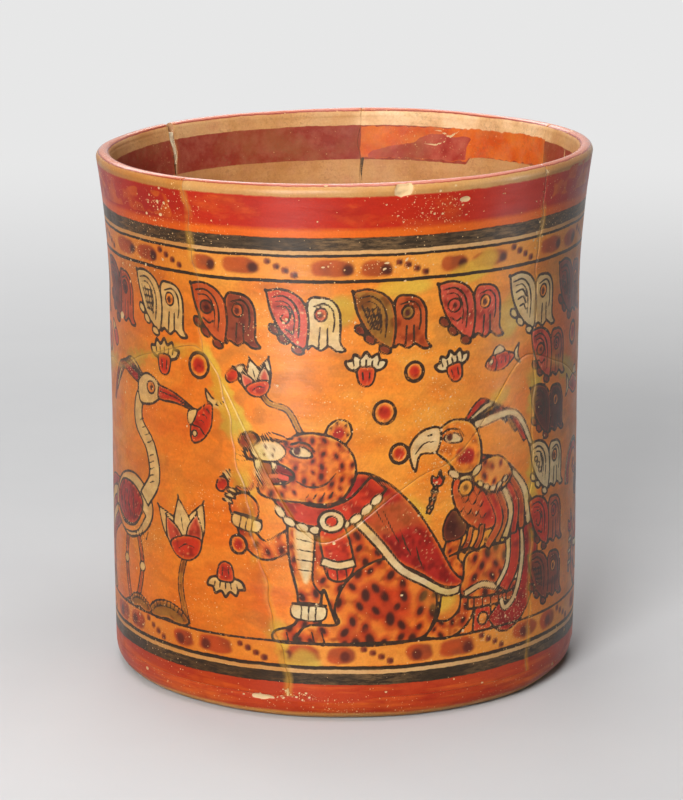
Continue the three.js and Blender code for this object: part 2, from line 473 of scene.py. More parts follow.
def blossom(place):
    """A cut flower head seen from the side: a dark scalloped fringe, a cream collar and a red heart."""
    fringe = mirrored([(-7, 1), (-8.4, 4), (-5.8, 4.6), (-4.7, 7), (-2, 5.7)], (0, 8))
    shape(place, [*fringe, (3, 0), (-3, 0)], CREAM, width=1.1)
    for k in range(-2, 3):
        stroke(place, [(2.4 * k, 2.2), (2.6 * k, 4.8 - 0.3 * abs(k))], 0.75, taper=0.3)
    shape(place, [*mirrored([(-3.6, 0.8), (-2.8, -4.8)], (0, -6.4)), (0, 1.8)], RED, FLAME, 0.85)
    for side in (-1, 1):
        stroke(place, [(side * 1.2, -4), (side * 1.5, -0.6)], 0.7)


def bud(place):
    """A closed bud: cream tip, red sheath."""
    shape(place, mirrored([(-2.2, 0), (-2.6, 5)], (0, 10)), CREAM)
    shape(place, [*mirrored([(-2.6, -3), (-3.2, 2)], (0, 4.4)), (0, -4.4)], RED, FLAME, spread=5)


def disc(place):
    """A ring round a glowing dot."""
    blob(place, 0, 0, 1, 1.06, AMBER, width=1.25)
    blob(place, 0, 0, 0.66, 0.7, RED, FLAME, width=0)
    blob(place, 0.1, 0.1, 0.3, 0.32, DEEP_RED, RED, width=0)


def lily_flower(place):
    """A water lily seen from the side: three back petals, two front ones and a cup."""
    for x, lean in ((-2.4, 34), (2.4, -34), (0, 0)):
        petal = place.at(x, 3, tilt=lean)
        shape(petal, mirrored([(-3, 0), (-3.8, 6), (0, 14)]), CREAM, width=0.75)
        stroke(petal, [(0, 3), (0, 9)], 0.55, taper=0.6)
    for side in (-1, 1):
        petal = place.at(side * 3.4, 1.5, tilt=-side * 20)
        shape(petal, mirrored([(-2.6, 0), (-3, 5), (0, 10.5)]), ROSE, CREAM, spread=7)
    shape(place, [*mirrored([(-6.5, 3), (-5, -1.5)], (0, -3.5)), (0, 4.6)], RED, FLAME)
    stroke(place, [(-3.4, 0.6), (0, 1.8), (3.4, 0.6)], 0.6)


def lily_pad(place):
    """A lily pad on edge: a scalloped half moon with a netted rim."""
    top = mirrored([(-13, 1), (-10.66, 4.5), (-5.85, 7.2)], (0, 8.2))
    shape(place, [*top, (7.15, -1), (0, 0.4), (-7.15, -1)], OLIVE, AMBER, spread=7)
    stroke(place, [(x * 0.8, y * 0.62 + 0.4) for x, y in top], 0.65, taper=0.4)
    for k in range(-4, 5):
        y = 8.2 * math.sqrt(1 - (k / 5.4) ** 2)
        stroke(place, [(2.184 * k, y * 0.66), (2.6 * k, y * 0.98)], 0.55)


def stem(place, points, width):
    ribbon(place, points, width, OLIVE, AMBER, 0.65)


def fish(place):
    """A small fish that faces right."""
    shape(place, [(-9, 0), (-14, 5.5), (-12.5, 0), (-14, -5.5)], CREAM)
    body = [(11, 0), (7, 3.8), (0, 5), (-6, 3), (-10, 0), (-6, -3), (0, -5), (7, -3.8)]
    shape(place, body, RED, FLAME)
    shape(place, [(-3, 4.6), (0, 8.4), (4, 7), (4.5, 4.2)], CREAM, width=0.65)
    dots(place, [(7, 1)], 1.4, CREAM, 0.6)
    stroke(place, [(4.4, 3.6), (3.2, 0), (4.4, -3.6)], 0.65)
    row(place, 3, [(0.8, 2.2), (-0.4, 0), (0.8, -2.2)], [(-3, 0)] * 3, 0.55, 0.5)


def volute(place):
    """A curling scroll with a cream edge, like rising smoke."""
    spine = [(0, 0), (1, 8), (6, 15), (14, 18), (21, 14), (22, 7), (17, 3.5), (12.5, 6.5), (14.5, 10)]
    ribbon(place, spine, 5.2, RED, FLAME, 0.8, taper=0.55)
    edge = [(-2.6, 0.5), (-1.4, 9.5), (4, 17.6), (13.4, 21.4), (22.4, 17.4), (24.8, 9)]
    ribbon(place, edge, 1.9, CREAM, None, 0.65, taper=0.5)


def shell(place):
    """A sea shell on its side, its whorls to the left and its lip to the right."""
    body = [(-20, 4), (-14, 9), (-8, 12), (0, 15), (9, 14), (17, 9), (20, 2), (16, -4), (6, -5), (-4, -2),
            (-12, 1)]
    shape(place, body, CREAM, SHELL_TAN, spread=7)
    for x, low, high in ((-15, 2, 7.6), (-10, 0.6, 10.6), (-4.4, -1.2, 13)):
        ribbon(place, [(x + 1.6, low), (x, (low + high) / 2), (x - 0.4, high)], 2.4, RED, FLAME, 0.6)
    shape(place, [(3, 9), (10, 11), (15, 7), (16, 1), (11, -2), (5, 1)], RED, FLAME)
    shape(place, [(7, 7), (11, 8), (12.6, 4), (10, 1.4), (7, 3)], DARK_BROWN, RUST, width=0.6, spread=5)
    for k in range(5):
        blob(place, -16 + 4.4 * k, 9.4 + 1.4 * k - 0.16 * k * k, 1.5, 1.2, AMBER, width=0.6)


def bowl(place):
    """A flaring bowl on slab feet, heaped with round fruits."""
    for x, y in ((-9, 21), (0, 22), (9, 21), (-4.6, 26.6), (4.8, 26.8)):
        blob(place, x, y, 5.2, 4.4, CREAM if (x + y) % 2 else FRUIT_TAN, AMBER, 0.8)
        stroke(place, [(x - 2.6, y + 0.3), (x - 0.4, y + 0.9)], 0.6)
        stroke(place, [(x + 0.8, y + 0.9), (x + 2.6, y + 0.3)], 0.6)
    for side in (-1, 1):
        foot = [(side * 14, 8), (side * 16, 0), (side * 9, 0), (side * 9.5, 8)]
        shape(place, foot, RED, FLAME, corners=True)
        blob(place, side * 12.4, 3.6, 1.5, 1.7, AMBER, width=0.65)
    wall = [(-22, 18), (-18, 8), (-18, 8), (18, 8), (18, 8), (22, 18), (22, 18), (-22, 18)]
    shape(place, wall, RED, FLAME, 0.9)
    stroke(place, [(-20.5, 15.8), (20.5, 15.8)], 0.7)
    dots(place, [(5.2 * k, 11.8) for k in range(-3, 4)], 1.7, CREAM, 0.6)


def claws(place, x, y, tilt):
    """Three hooked claws at the end of a paw."""
    for k in range(3):
        claw = place.at(x, y, tilt=tilt).at(0, 1.9 * k)
        shape(claw, [(-0.6, -1.4), (2.2, -0.9), (3.4, -2.6), (1.4, -2.2)], CREAM, width=0.6)


def cat_ear(ear):
    shape(ear, [(-3.4, -2), (-5.4, 3), (-2.6, 7.6), (1.8, 7.4), (4.6, 3.4), (3.6, -2)], COAT, GOLD, 0.95)
    fill(ear, [(-1.9, 0), (-2.6, 3.2), (-0.4, 5), (1.9, 3.2), (1.6, 0)], DEEP_RED, FLAME, 3)
    dots(ear, [(-3.9, 3), (-1.6, 6.2), (2, 5.8), (3.6, 2.6)], 0.7)


def cat_muzzle(place):
    """The pale muzzle with its whiskers, the dark nose, the bared teeth and the tongue."""
    pad = [(11.6, 8), (17.4, 8.4), (21.4, 5.4), (19, 2.4), (13, 2.2), (9.6, 4.8)]
    shape(place, pad, CREAM, PALE_AMBER, 0.7, 5)
    dots(place, [(13.4, 6), (16.2, 6.6), (13.8, 4), (16.8, 4.2)], 0.45)
    row(place, 3, [(17, 3.6), (23, 1.6), (27.6, 1.8)], [(0, 1), (0, 1.4), (0, 2)], 0.5, 0.7)
    nose = [(18.6, 9.4), (21, 11.2), (24.6, 10), (25.4, 7.4), (22.8, 5.6), (21, 6.6)]
    shape(place, nose, NOSE_RED, RED, 0.95, 4)
    stroke(place, [(22, 7.6), (23.4, 8.4), (22.8, 9.6)], 0.7)
    shape(place, [(17.6, 2), (20.2, 2), (20.2, 2), (19.4, -4.2), (19.4, -4.2)], CREAM, width=0.7)
    shape(place, [(12.4, 1.6), (14.6, 1.8), (14.6, 1.8), (13.8, -1.6), (13.8, -1.6)], CREAM, width=0.6)
    shape(place, [(14.6, -5.2), (16.6, -5.8), (16.6, -5.8), (16.4, -1.8), (16.4, -1.8)], CREAM, width=0.6)
    tongue = [(8.4, -3.4), (13, -2.6), (18.4, -4.4), (22.6, -8), (26.6, -7.6)]
    ribbon(place, tongue, 2.2, ROSE, None, 0.65, taper=0.5)


def cat_head(place):
    """A spotted cat's head that snarls to the right, with a lily stem rising from its brow."""
    stem(place, [(5, 12), (9, 19), (15, 21), (18, 25)], 1.8)
    lily_flower(place.at(18.4, 25, 0.62, tilt=-18))
    cat_ear(place.at(-6.4, 10.4, 0.78, tilt=24))
    fill(place, [(20, 2.6), (13, 2), (6, -2), (11, -5), (17, -6.4), (19, -2)], MOUTH_RED)
    skull = [(-9, -9), (-12.6, -2), (-11.6, 5), (-6.6, 10), (0.6, 11.8), (6, 11), (10, 9), (15.5, 9.6),
             (20.5, 9), (23.4, 6), (22.4, 2.6), (18, 1.8), (12, 1.4), (7, -1.6), (9, -4.6), (14, -5.4),
             (18.6, -6.6), (17.6, -9.2), (11, -10.6), (3, -11), (-4, -11.4)]
    pelt(shape(place, skull, COAT, GOLD, 1.0), 3.0, 1.15)
    cat_muzzle(place)
    eye(place, 4.4, 5.2, 0.85)
    stroke(place, [(-6.6, -1), (-3, -4.8), (2, -5.8), (6.4, -4)], 0.8, taper=0.5)
    row(place, 4, [(-5.6, -7), (-4.4, -9.4)], [(2.6, -0.4), (2.6, -0.2)], 0.65, 0.4)
    stroke(place, [(10, 10.4), (14, 11.4), (17.6, 10.6)], 0.8, taper=0.4)


def cat_body(place):
    """The tail, the raised arm, the trunk and the folded leg of the seated cat."""
    tail = [(-22, 4), (-32, 2.6), (-38.4, 8), (-38, 18), (-32.4, 25), (-34, 34)]
    pelt(ribbon(place, tail, 6.0, COAT, GOLD, 0.95, taper=0.1), 3.1, 1.35)
    shape(place, [(-37, 33), (-38, 38), (-33, 42), (-29.6, 37), (-30.6, 32)], DARK_BROWN, BROWN, 0.8)
    arm = [(12, 40), (22, 33), (29, 30), (34, 34), (36, 41)]
    pelt(ribbon(place, arm, 6.6, COAT, GOLD, 0.95, taper=0.1), 3.1, 1.3)
    shape(place, [(31.6, 40), (31, 45), (35, 48.4), (40, 46.4), (40.6, 41.6), (37, 39)], COAT, FLAME, 0.9)
    claws(place, 39.4, 46, 30)
    cuff(place, 35, 38.6, 4.2, 2.1, 12)
    body = [(-2, 56), (-12, 50), (-21, 39), (-27, 26), (-29, 14), (-26, 4), (-18, 0), (2, 0), (6, 8),
            (9.6, 18), (10.6, 8), (10.4, 0), (10.4, 0), (24.6, 0), (25.6, 3.4), (18.6, 6.6), (18, 16),
            (20.6, 28), (20.4, 42), (12, 52)]
    pelt(shape(place, body, COAT, GOLD, 1.0), 3.6, 1.75)
    chest = [(14, 44), (18.6, 40), (18.8, 30), (16, 20), (13.6, 22), (12.6, 32)]
    fill(place, chest, CREAM, CHEST_TAN, 7)
    row(place, 6, [(13.4, 40), (18.4, 41.4)], [(0, -3.2), (0, -3.4)], 0.6, 0.3)
    stroke(place, [(12, 44), (12.4, 32), (13, 21), (10, 16)], 0.9, taper=0.4)
    thigh = [(-26, 5), (-27, 16), (-20, 26), (-8, 27.6), (2, 21), (6, 12), (5, 6.6), (14, 6), (17.4, 3.4),
             (16, 0), (-18, 0)]
    haunch = shape(place, thigh, COAT, GOLD, 1.0)
    fill(place, [(-20, 7), (-20, 16), (-12, 21), (-2, 17), (-2, 9), (-9, 5)], HAUNCH_RED, COAT, 22)
    pelt(haunch, 3.9, 2.0)
    row(place, 2, [(9.4, 0.6), (10.2, 3.6)], [(3.2, 0)] * 2, 0.7)
    row(place, 2, [(17.8, 0.6), (18.4, 3.2)], [(3.2, 0)] * 2, 0.7)
    cuff(place, 14.4, 10.4, 4.6, 2.4, 3)


def cat_dress(place):
    """The red cape, and the scarf with its beads, its hanging end and its knot."""
    cape = [(0, 56), (-9, 54), (-19, 45), (-27, 33), (-33, 22), (-38, 17), (-30, 17), (-22, 22), (-14, 27),
            (-7, 36), (0, 43), (6, 47)]
    shape(place, cape, DEEP_RED, FLAME, 1.0, 10)
    hem = [(5, 45), (-1, 40.6), (-8, 33), (-15, 24.4), (-23, 19.4), (-31, 15), (-38, 16)]
    ribbon(place, hem, 3.0, CREAM, None, 0.85, taper=0.2)
    row(place, 4, [(-4, 50), (-7.6, 43), (-11, 37)], [(-5.4, -6.2), (-4.6, -5.4), (-4, -4.6)], 0.7, 0.5)
    ribbon(place, [(-8, 53), (0, 45), (10, 42), (19, 44), (23, 49)], 6.6, RED, FLAME, 0.95)
    beads(place, [(-9, 49), (0, 41), (10, 37.6), (20, 39.8), (25, 45)], 2.2)
    hang = [(4, 40), (1, 33), (0, 25), (3, 21), (8, 22), (10, 30), (10.6, 38)]
    shape(place, hang, RED, FLAME, 0.9)
    ribbon(place, [(-0.4, 27), (5, 26), (10.2, 27.4)], 2.6, CREAM, None, 0.75)
    row(place, 3, [(2, 21.6), (2.4, 24.6)], [(3, 0)] * 2, 0.7)
    blob(place, 7, 40.6, 4.2, 3.6, CREAM, width=1.0)
    blob(place, 7, 40.6, 1.9, 1.7, RED, width=0.7)


def spotted_cat(place):
    """A spotted cat that sits upright and faces right, one paw raised, in a red cape with a knotted scarf."""
    cat_body(place)
    cat_dress(place)
    cat_head(place.at(12, 57.5))


def heron_body(place):
    """The legs, the tail plumes, the pale body and its netted wing."""
    for x, knee, foot in ((-1, -3, 0), (6, 9, 5)):
        ribbon(place, [(x, 27), (knee, 15), (foot, 1)], 2.2, RUST, AMBER, 0.8)
        stroke(place, [(foot - 5, 0.4), (foot, 1.6), (foot + 7, 0.3)], 1.1, taper=0.5)
        blob(place, knee, 15, 1.8, 1.6, CREAM, width=0.7)
    for k in range(5):
        plume = [(-8, 38 - 2.4 * k), (-20, 37 - 4.4 * k), (-29 + 2.4 * k, 27 - 5.4 * k)]
        ribbon(place, plume, 4.6, CREAM if k % 2 else DEEP_RED, None if k % 2 else FLAME, 0.85, taper=0.3)
    body = [(-14, 33), (-7, 42), (4, 45), (13, 41), (16, 34), (11, 27), (0, 23), (-9, 26)]
    shape(place, body, CREAM, PALE_AMBER, 0.95)
    for k in range(6):
        tip = (-5.4 + 3.4 * k, 25.4 - 0.3 * abs(k - 2))
        stroke(place, [(-7 + 3.4 * k, 27.4 - 0.5 * abs(k - 2)), tip, (-4 + 3.4 * k, 27.2)], 0.6)


def heron_neck(place):
    """The neck with its bars, and the red cover of the shoulder with its barbs and its edge."""
    neck = [(11, 38), (17, 46), (15, 56), (8, 63), (9, 71), (15, 74)]
    ribbon(place, neck, 6.0, CREAM, None, 0.9, taper=0.25)
    row(place, 5, [(14.4, 44), (17, 45)], [(0, 2.2)] * 2, 0.6, 0.3)
    row(place, 4, [(13.1, 56.8), (15.7, 57.8)], [(-1.5, 2.2)] * 2, 0.6, 0.3)
    cover = [(-12, 33), (-6, 40.6), (4, 41), (10, 36), (5, 28.6), (-4, 27.6)]
    pelt(shape(place, cover, DEEP_RED, FLAME, 0.95), 3.4, 0.9)
    for k in range(4):
        barb = [(-7 + 3.6 * k, 39 - abs(k - 1) * 0.8), (-8.4 + 3.8 * k, 34), (-6.2 + 3.6 * k, 30)]
        stroke(place, barb, 0.75, taper=0.4)
    ribbon(place, [(11, 33), (5, 27), (-5, 25.6), (-13, 30)], 2.2, AMBER, GOLD, 0.75)


def heron(place):
    """A wading bird that faces right, with a fish in its beak."""
    heron_body(place)
    heron_neck(place)
    for k in range(4):
        crest = [(11 - k, 77), (3 - 3 * k, 82 - k), (-5 - 3 * k, 78 - 4 * k)]
        ribbon(place, crest, 2.8, DEEP_RED if k % 2 else CREAM, None, 0.75, taper=0.5)
    head = [(9, 70), (8, 76), (13, 79.5), (19, 78), (21.5, 74.5), (18, 71), (13, 69.5)]
    shape(place, head, CREAM, width=0.95)
    beak = [(20, 77), (20, 77), (28, 75.4), (37, 71), (37, 71), (28, 72.4), (20, 72.6)]
    shape(place, beak, RED, AMBER, 0.85, 5)
    stroke(place, [(20.5, 75), (28, 74), (34.5, 71.8)], 0.7)
    blob(place, 15.6, 75.4, 2.2, 2.0, AMBER, width=0.8)
    dots(place, [(16, 75.4)], 0.9)
    fish(place.at(39, 68, 0.72, -1, 62))


def long_tail(place, points, width, colour):
    """One broad hanging plume: red, with a cream edge and a curled end."""
    ribbon(place, points, width, colour, FLAME, 0.85, taper=0.12)
    spine = np.array([complex(*point) for point in points])
    step = np.gradient(spine)
    edge = spine + 1j * step / np.abs(step) * width * 0.5
    ribbon(place, [(p.real, p.imag) for p in edge], 2.7, CREAM, None, 0.7, taper=0.25)


def bird_body(place):
    """The hanging plumes, the scaled breast, and the folded wing with its spotted feathers."""
    long_tail(place, [(-6, 54), (-15, 42), (-18, 26), (-14, 10), (-5, 3), (1, 8)], 9.5, DEEP_RED)
    long_tail(place, [(-3, 50), (-8, 38), (-8.4, 24), (-3, 15)], 6.5, RED)
    body = [(-10, 50), (-6, 60), (4, 66), (14, 65), (20, 57), (17, 46), (8, 39), (-3, 41)]
    shape(place, body, RED, FLAME, 0.95)
    for k in range(3):
        scale = [(5.4 + 1.2 * k, 45 + 4.4 * k), (7 + 1.2 * k, 43.2 + 4.4 * k), (8.6 + 1.2 * k, 45 + 4.4 * k)]
        row(place, 4 - k, scale, [(3.2, 1.2)] * 3, 0.65)
    for k in range(6):
        feather = [(-4 + 2.0 * k, 60 - 0.6 * k), (-14 + 2.6 * k, 50 - 1.6 * k), (-17 + 4.4 * k, 37 - 1.0 * k)]
        ribbon(place, feather, 4.2, (CREAM, RUST, RED)[k % 3], AMBER if k % 3 else None, 0.85, taper=0.25)
        dots(place, [(-14.6 + 4 * k, 41 - 1.2 * k)], 0.8)
    shoulder = [(-7, 58), (-1, 65), (8, 64), (11, 57.4), (4, 52), (-3, 53)]
    pelt(shape(place, shoulder, AMBER, GOLD, 0.9), 3.4, 1.1)
    beads(place, [(-5, 57), (2, 53.6), (9.6, 57)], 1.7)


def plumed_bird(place):
    """A perched bird that faces right, with long plumes falling behind it."""
    bird_body(place)
    for k in range(5):
        crest = [(15 - k, 78), (8 - 4 * k, 86 - 1.6 * k), (1 - 5 * k, 82 - 4.4 * k)]
        ribbon(place, crest, 3.2, (RED, CREAM, OLIVE)[k % 3], None, 0.8, taper=0.4)
    head = [(9, 62), (8, 71), (12, 79), (20, 81), (26, 77), (27, 71), (22, 66), (17, 61)]
    shape(place, head, ORANGE, GOLD, 0.95)
    fill(place, [(11, 69), (11.6, 64.4), (17, 64.6), (19, 68), (16, 71)], DEEP_RED, FLAME, 5)
    beak = [(25, 78.6), (32, 78), (36.6, 72), (34.4, 63.6), (32.4, 69.6), (26, 70.4)]
    shape(place, beak, CREAM, PALE_TAN, 0.95)
    stroke(place, [(26.4, 74), (31, 73.6), (34.4, 70)], 0.75, taper=0.3)
    stroke(place, [(28, 76.6), (29.6, 76.2)], 0.8)
    eye(place, 19.6, 74.2, 0.9)
    beads(place, [(7.6, 63), (14, 59), (21.6, 62.4)], 2.2)
    blob(place, 14.4, 55.6, 3, 3, AMBER, GOLD, width=0.85)
    dots(place, [(14.4, 55.6)], 1.2)
    for x in (7, 12):
        ribbon(place, [(x, 41), (x + 1, 36), (x + 3.5, 32)], 2.3, RUST, AMBER, 0.8)
    stroke(place, [(8, 31), (13, 32.8), (21, 31)], 1.2, taper=0.4)


def bench(place):
    """A low seat covered with a spotted pelt, on two red feet."""
    for side in (-1, 1):
        foot = [(side * 4, 10), (side * 3, 0), (side * 12, 0), (side * 11, 10)]
        shape(place, foot, RED, FLAME, 0.9, corners=True)
        blob(place, side * 7.4, 4.6, 2.2, 2.4, AMBER, width=0.85)
    shape(place, mirrored([(-14, 9), (-14, 13.6)]), RUST, AMBER, 0.95, corners=True)
    row(place, 7, [(-11.4, 9.6), (-11.4, 13)], [(3.8, 0)] * 2, 0.7)
    cover = [(-15, 13.6), (-16.6, 22), (-14, 30), (0, 31.4), (14, 30), (16, 22), (15, 13.6)]
    pelt(shape(place, cover, COAT, GOLD, 1.0), 3.9, 1.6)
    ribbon(place, [(-16, 15), (-8, 17.4), (0, 15.4), (8, 17.4), (15.6, 15)], 2.4, CREAM, None, 0.75)


def torch(place):
    """A bundle of sticks bound with cream bands, with a flame at its top."""
    ribbon(place, [(0, 0), (0.6, 10), (0, 18)], 2.6, RUST, AMBER, 0.8)
    for y in (3.6, 8.6, 13.6):
        ribbon(place, [(-2, y), (2.4, y + 0.6)], 1.7, CREAM, None, 0.65)
    flame = [(-2.6, 18), (-4, 22.6), (-0.6, 21.6), (0.4, 27), (3, 22), (4.2, 23.6), (3.2, 18)]
    shape(place, flame, RED, FLAME, 0.85, 4)


# The signs: pairs of colours for the left and the right cartouche, and where they stand
SIGN_COLOURS = [(ROSE, CREAM), (OLIVE, RUST), (ROSE, ROSE), (CREAM, CREAM), (BROWN, BROWN), (RED, RUST),
                (CREAM, ROSE), (RUST, RUST), (OLIVE, BROWN), (RED, CREAM), (CREAM, CREAM), (ROSE, RUST),
                (BROWN, RED), (RUST, CREAM), (OLIVE, OLIVE), (BROWN, RUST), (CREAM, CREAM), (RUST, BROWN)]
SIGN_PITCH = ROUND / len(SIGN_COLOURS)
SIGN_START = -12.4
SIGN_TILT = -2
COLUMN_COLOURS = [(ROSE, RUST), (DARK_BROWN, DARK_BROWN), (CREAM, CREAM), (RED, RUST), (BROWN, BROWN)]
COLUMN_TOP = 116.9
COLUMN_PITCH = 19.2
COLUMN_SCALE = 0.91
COLUMNS_AT = (82.5, 82.5 + ROUND / 2)

# The two bands of pelt spots: half the height of their spots, where they start and their colours
SPOT_GROUPS = 12
HIGH_SPOTS = {"up": 2.9, "start": 2.6, "colour": (184, 84, 36), "dark": (70, 34, 26), "free": False}
LOW_SPOTS = {"up": 3.2, "start": -8.4, "colour": (190, 76, 34), "dark": (92, 38, 28), "free": True}
# Power of a spot's outline: 2 is an oval, and higher ones are squarer
SPOT_ROUNDING = 2.8

# Colours of the slip ground, and of the belts that the spots lie on
DEEP_ORANGE = (224, 112, 40)
GRIME = (188, 116, 52)
BELT_ORANGE = (238, 150, 62)
BELT_GOLD = (240, 172, 74)

# Broad patches of yellowed retouching away from the joins: degrees round, height, half width, half height
MENDS = [(-9.7, 19.5, 7, 6), (12, 70, 13, 7), (23, 40.4, 8, 8), (-1, 139, 7, 8), (14, 146.5, 12, 4),
         (31, 150, 14, 5), (41, 133, 7, 10), (30, 74, 8, 13), (40, 58, 7, 9), (96, 100, 8, 14),
         (150, 60, 12, 9), (205, 120, 9, 12), (262, 70, 10, 12)]
# The retouching is laid on this strongly in its patches, and each is turned by up to this many degrees
MEND_STRENGTH = 0.85
MEND_TURN = 20
RETOUCH_WIDTH = 3.6
# The retouching is laid on this strongly under the drawing, and again over it
RETOUCH_UNDER = 0.85
RETOUCH_OVER = 0.35

# The turn and the height of every cell of the unrolled wall
WALL_TURN, WALL_UP = np.meshgrid((np.arange(COLUMNS) + 0.5) * CELL / BODY_RADIUS,
                                 (np.arange(ROWS) + 0.5) * CELL)


def sign_marks(place, right, kind):
    """Marks inside the left cartouche that say nothing: a scroll, a net, an eye, arcs or dots."""
    if kind == 0:
        scroll = [(-10, 4), (-7, 4.2), (-5.2, 1.6), (-6.4, -1.4), (-8.4, 0), (-7.6, 1.6)]
        stroke(place, scroll, 0.8, taper=0.3)
        stroke(place, [(-6.6, -3.4), (-4.2, -4.6)], 0.8)
    elif kind == 1:
        row(place, 4, [(-10.4, 4.6), (-7, -3)], [(1.7, -0.5), (1.1, -0.3)], 0.65)
        row(place, 4, [(-10, 3.2), (-4.4, 3.4)], [(0.9, -2.1), (0.2, -2.2)], 0.65)
    elif kind == 2:
        blob(place, -7.2, 1.8, 2.4, 2.2, right, width=0.8)
        dots(place, [(-7, 1.8)], 0.9)
        stroke(place, [(-8.4, -2), (-6, -3.4), (-4.4, -2.4)], 0.8)
    elif kind == 3:
        row(place, 3, [(-10, 3.4), (-7, 4), (-4.8, 1.6)], [(1.1, -2.4), (0.5, -2.5), (0, -2.2)], 0.8)
    else:
        dots(place, [(-9.2 + 1.5 * k, 3.2 - 2.2 * k) for k in range(3)], 1.0, right, 0.7)
        stroke(place, [(-6.4, 4.4), (-4.8, 1), (-5, -3)], 0.8, taper=0.3)


def sign(place, left, right, kind):
    """A pair of cartouches that stand for writing: a leaning leaf shape and an arched one with two legs."""
    leaf = [(-13.4, 9), (-13.4, 9), (-8.6, 9.9), (-3.6, 8.4), (-0.4, 5), (0.8, 0), (0.8, -5.4), (-0.4, -9.6),
            (-4.4, -7.6), (-8.6, -3.6), (-11.8, 2.4)]
    arch = [(0.4, 6), (4.6, 7.8), (8.6, 6.6), (10.8, 3), (11.2, -2), (11.4, -7), (13.2, -9.4), (10.4, -9.8),
            (7.6, -8.2), (5.2, -9.6), (2.2, -8.2), (0.6, -8.4)]
    shape(place, arch, right, PALE_CREAM if right == CREAM else FLAME, 1.0, 5)
    stroke(place, [(2.2, 4.8), (6, 5.8), (8.6, 3.6), (9.2, -0.6), (8.8, -3.6)], 0.8, taper=0.3)
    blob(place, 4.8, 2.2, 2.0, 2.2, left if left != right else AMBER, width=0.8)
    blob(place, 4.6, 2.0, 1.0, 1.2, DARK_BROWN, width=0)
    stroke(place, [(4.6, -2.2), (4.4, -8.4)], 0.75)
    stroke(place, [(7, -2.2), (7.2, -7.8)], 0.75)
    shape(place, leaf, left, PALE_CREAM if left == CREAM else FLAME, 1.0, 5)
    stroke(place, [(-11.6, 7), (-7.4, 7.6), (-3.8, 5), (-2.2, 0.4), (-2.4, -6)], 0.85, taper=0.3)
    stroke(place, [(-10.6, 5.6), (-7.4, 5.8), (-5, 3.8), (-3.8, 0), (-4, -4.6)], 0.65, taper=0.3)
    sign_marks(place, right, kind % 5)
    for x, y, tilt in ((-10.6, -3.6, -35), (-7.4, -6.6, -35), (-2.4, -10, -20)):
        toe = [(-2, 0.5), (0, 1.3), (2.2, 0.2), (1, -1.1), (-1.2, -1)]
        shape(place.at(x, y, tilt=tilt), toe, BROWN if left != CREAM else left, None, 0.85)


def cat_spot(s, z, across, up, colour, dark, heart_end=1.0):
    """One spot of the pelt bands: a soft rounded bar with a dark heart near one end."""
    middle, corner = complex(s, z), complex(across, up)
    window = Window(np.array([middle - corner, middle + corner]), 2)
    ragged = lattice(window.turn, window.up, 3, 2.4, 41) - 0.5
    u = window.cell.real - s
    v = window.up - z
    near = (np.abs(u / across) ** SPOT_ROUNDING + np.abs(v / up) ** SPOT_ROUNDING) ** (1 / SPOT_ROUNDING)
    near += 0.2 * ragged
    heart = np.hypot(u - heart_end * (across - 0.72 * up), v + 0.15 * up) / (0.62 * up) + 0.5 * ragged
    body = mix(colour, BROWN, np.clip(0.3 + 0.4 * u / across + 0.9 * ragged, 0, 1))
    body = mix(slip[window.area], body, 0.92 * smooth((1.06 - near) / 0.3))
    slip[window.area] = mix(body, dark, 0.9 * smooth((1.3 - heart) / 0.8) * smooth((1.04 - near) / 0.2))


def spotted_band(low, high, up, start, colour, dark, free):
    """Pairs of long spots with a slanting chain of small ones between each two pairs."""
    pitch = ROUND / SPOT_GROUPS
    middle = (low + high) / 2
    for k in range(SPOT_GROUPS):
        s = start + k * pitch
        for shift, across in ((-8.6, 5.0), (5.2, 7.2)) if k % 2 else ((-6.6, 7.1), (7.4, 5.6)):
            heart_end = chance.uniform(-0.9, 0.9) if free else 1.0
            cat_spot(s + shift, middle + chance.uniform(-0.3, 0.3), across * chance.uniform(0.94, 1.04),
                     up * chance.uniform(0.92, 1.06), colour, dark, heart_end)
        for n in range(4):
            drop = (n - 1.5) / 1.5
            fall = 0.72 * up * drop * chance.uniform(0.8, 1.1)
            cat_spot(s + pitch / 2 - 1.9 + 4.4 * drop, middle - fall, 1.25, 1.15, BROWN, dark)


def drifted():
    """Places shifted about smoothly, so that the cells of a noise laid over them don't show as blocks."""
    side = lattice(WALL_TURN, WALL_UP, 11, 8, 55) + 0.5 * lattice(WALL_TURN, WALL_UP, 4, 3, 56) - 0.75
    rise = lattice(WALL_TURN, WALL_UP, 12, 7, 57) + 0.5 * lattice(WALL_TURN, WALL_UP, 4, 3, 58) - 0.75
    return WALL_TURN + 10 * side / BODY_RADIUS + 0.35 * rise, WALL_UP + 9 * rise - 4 * side + 30


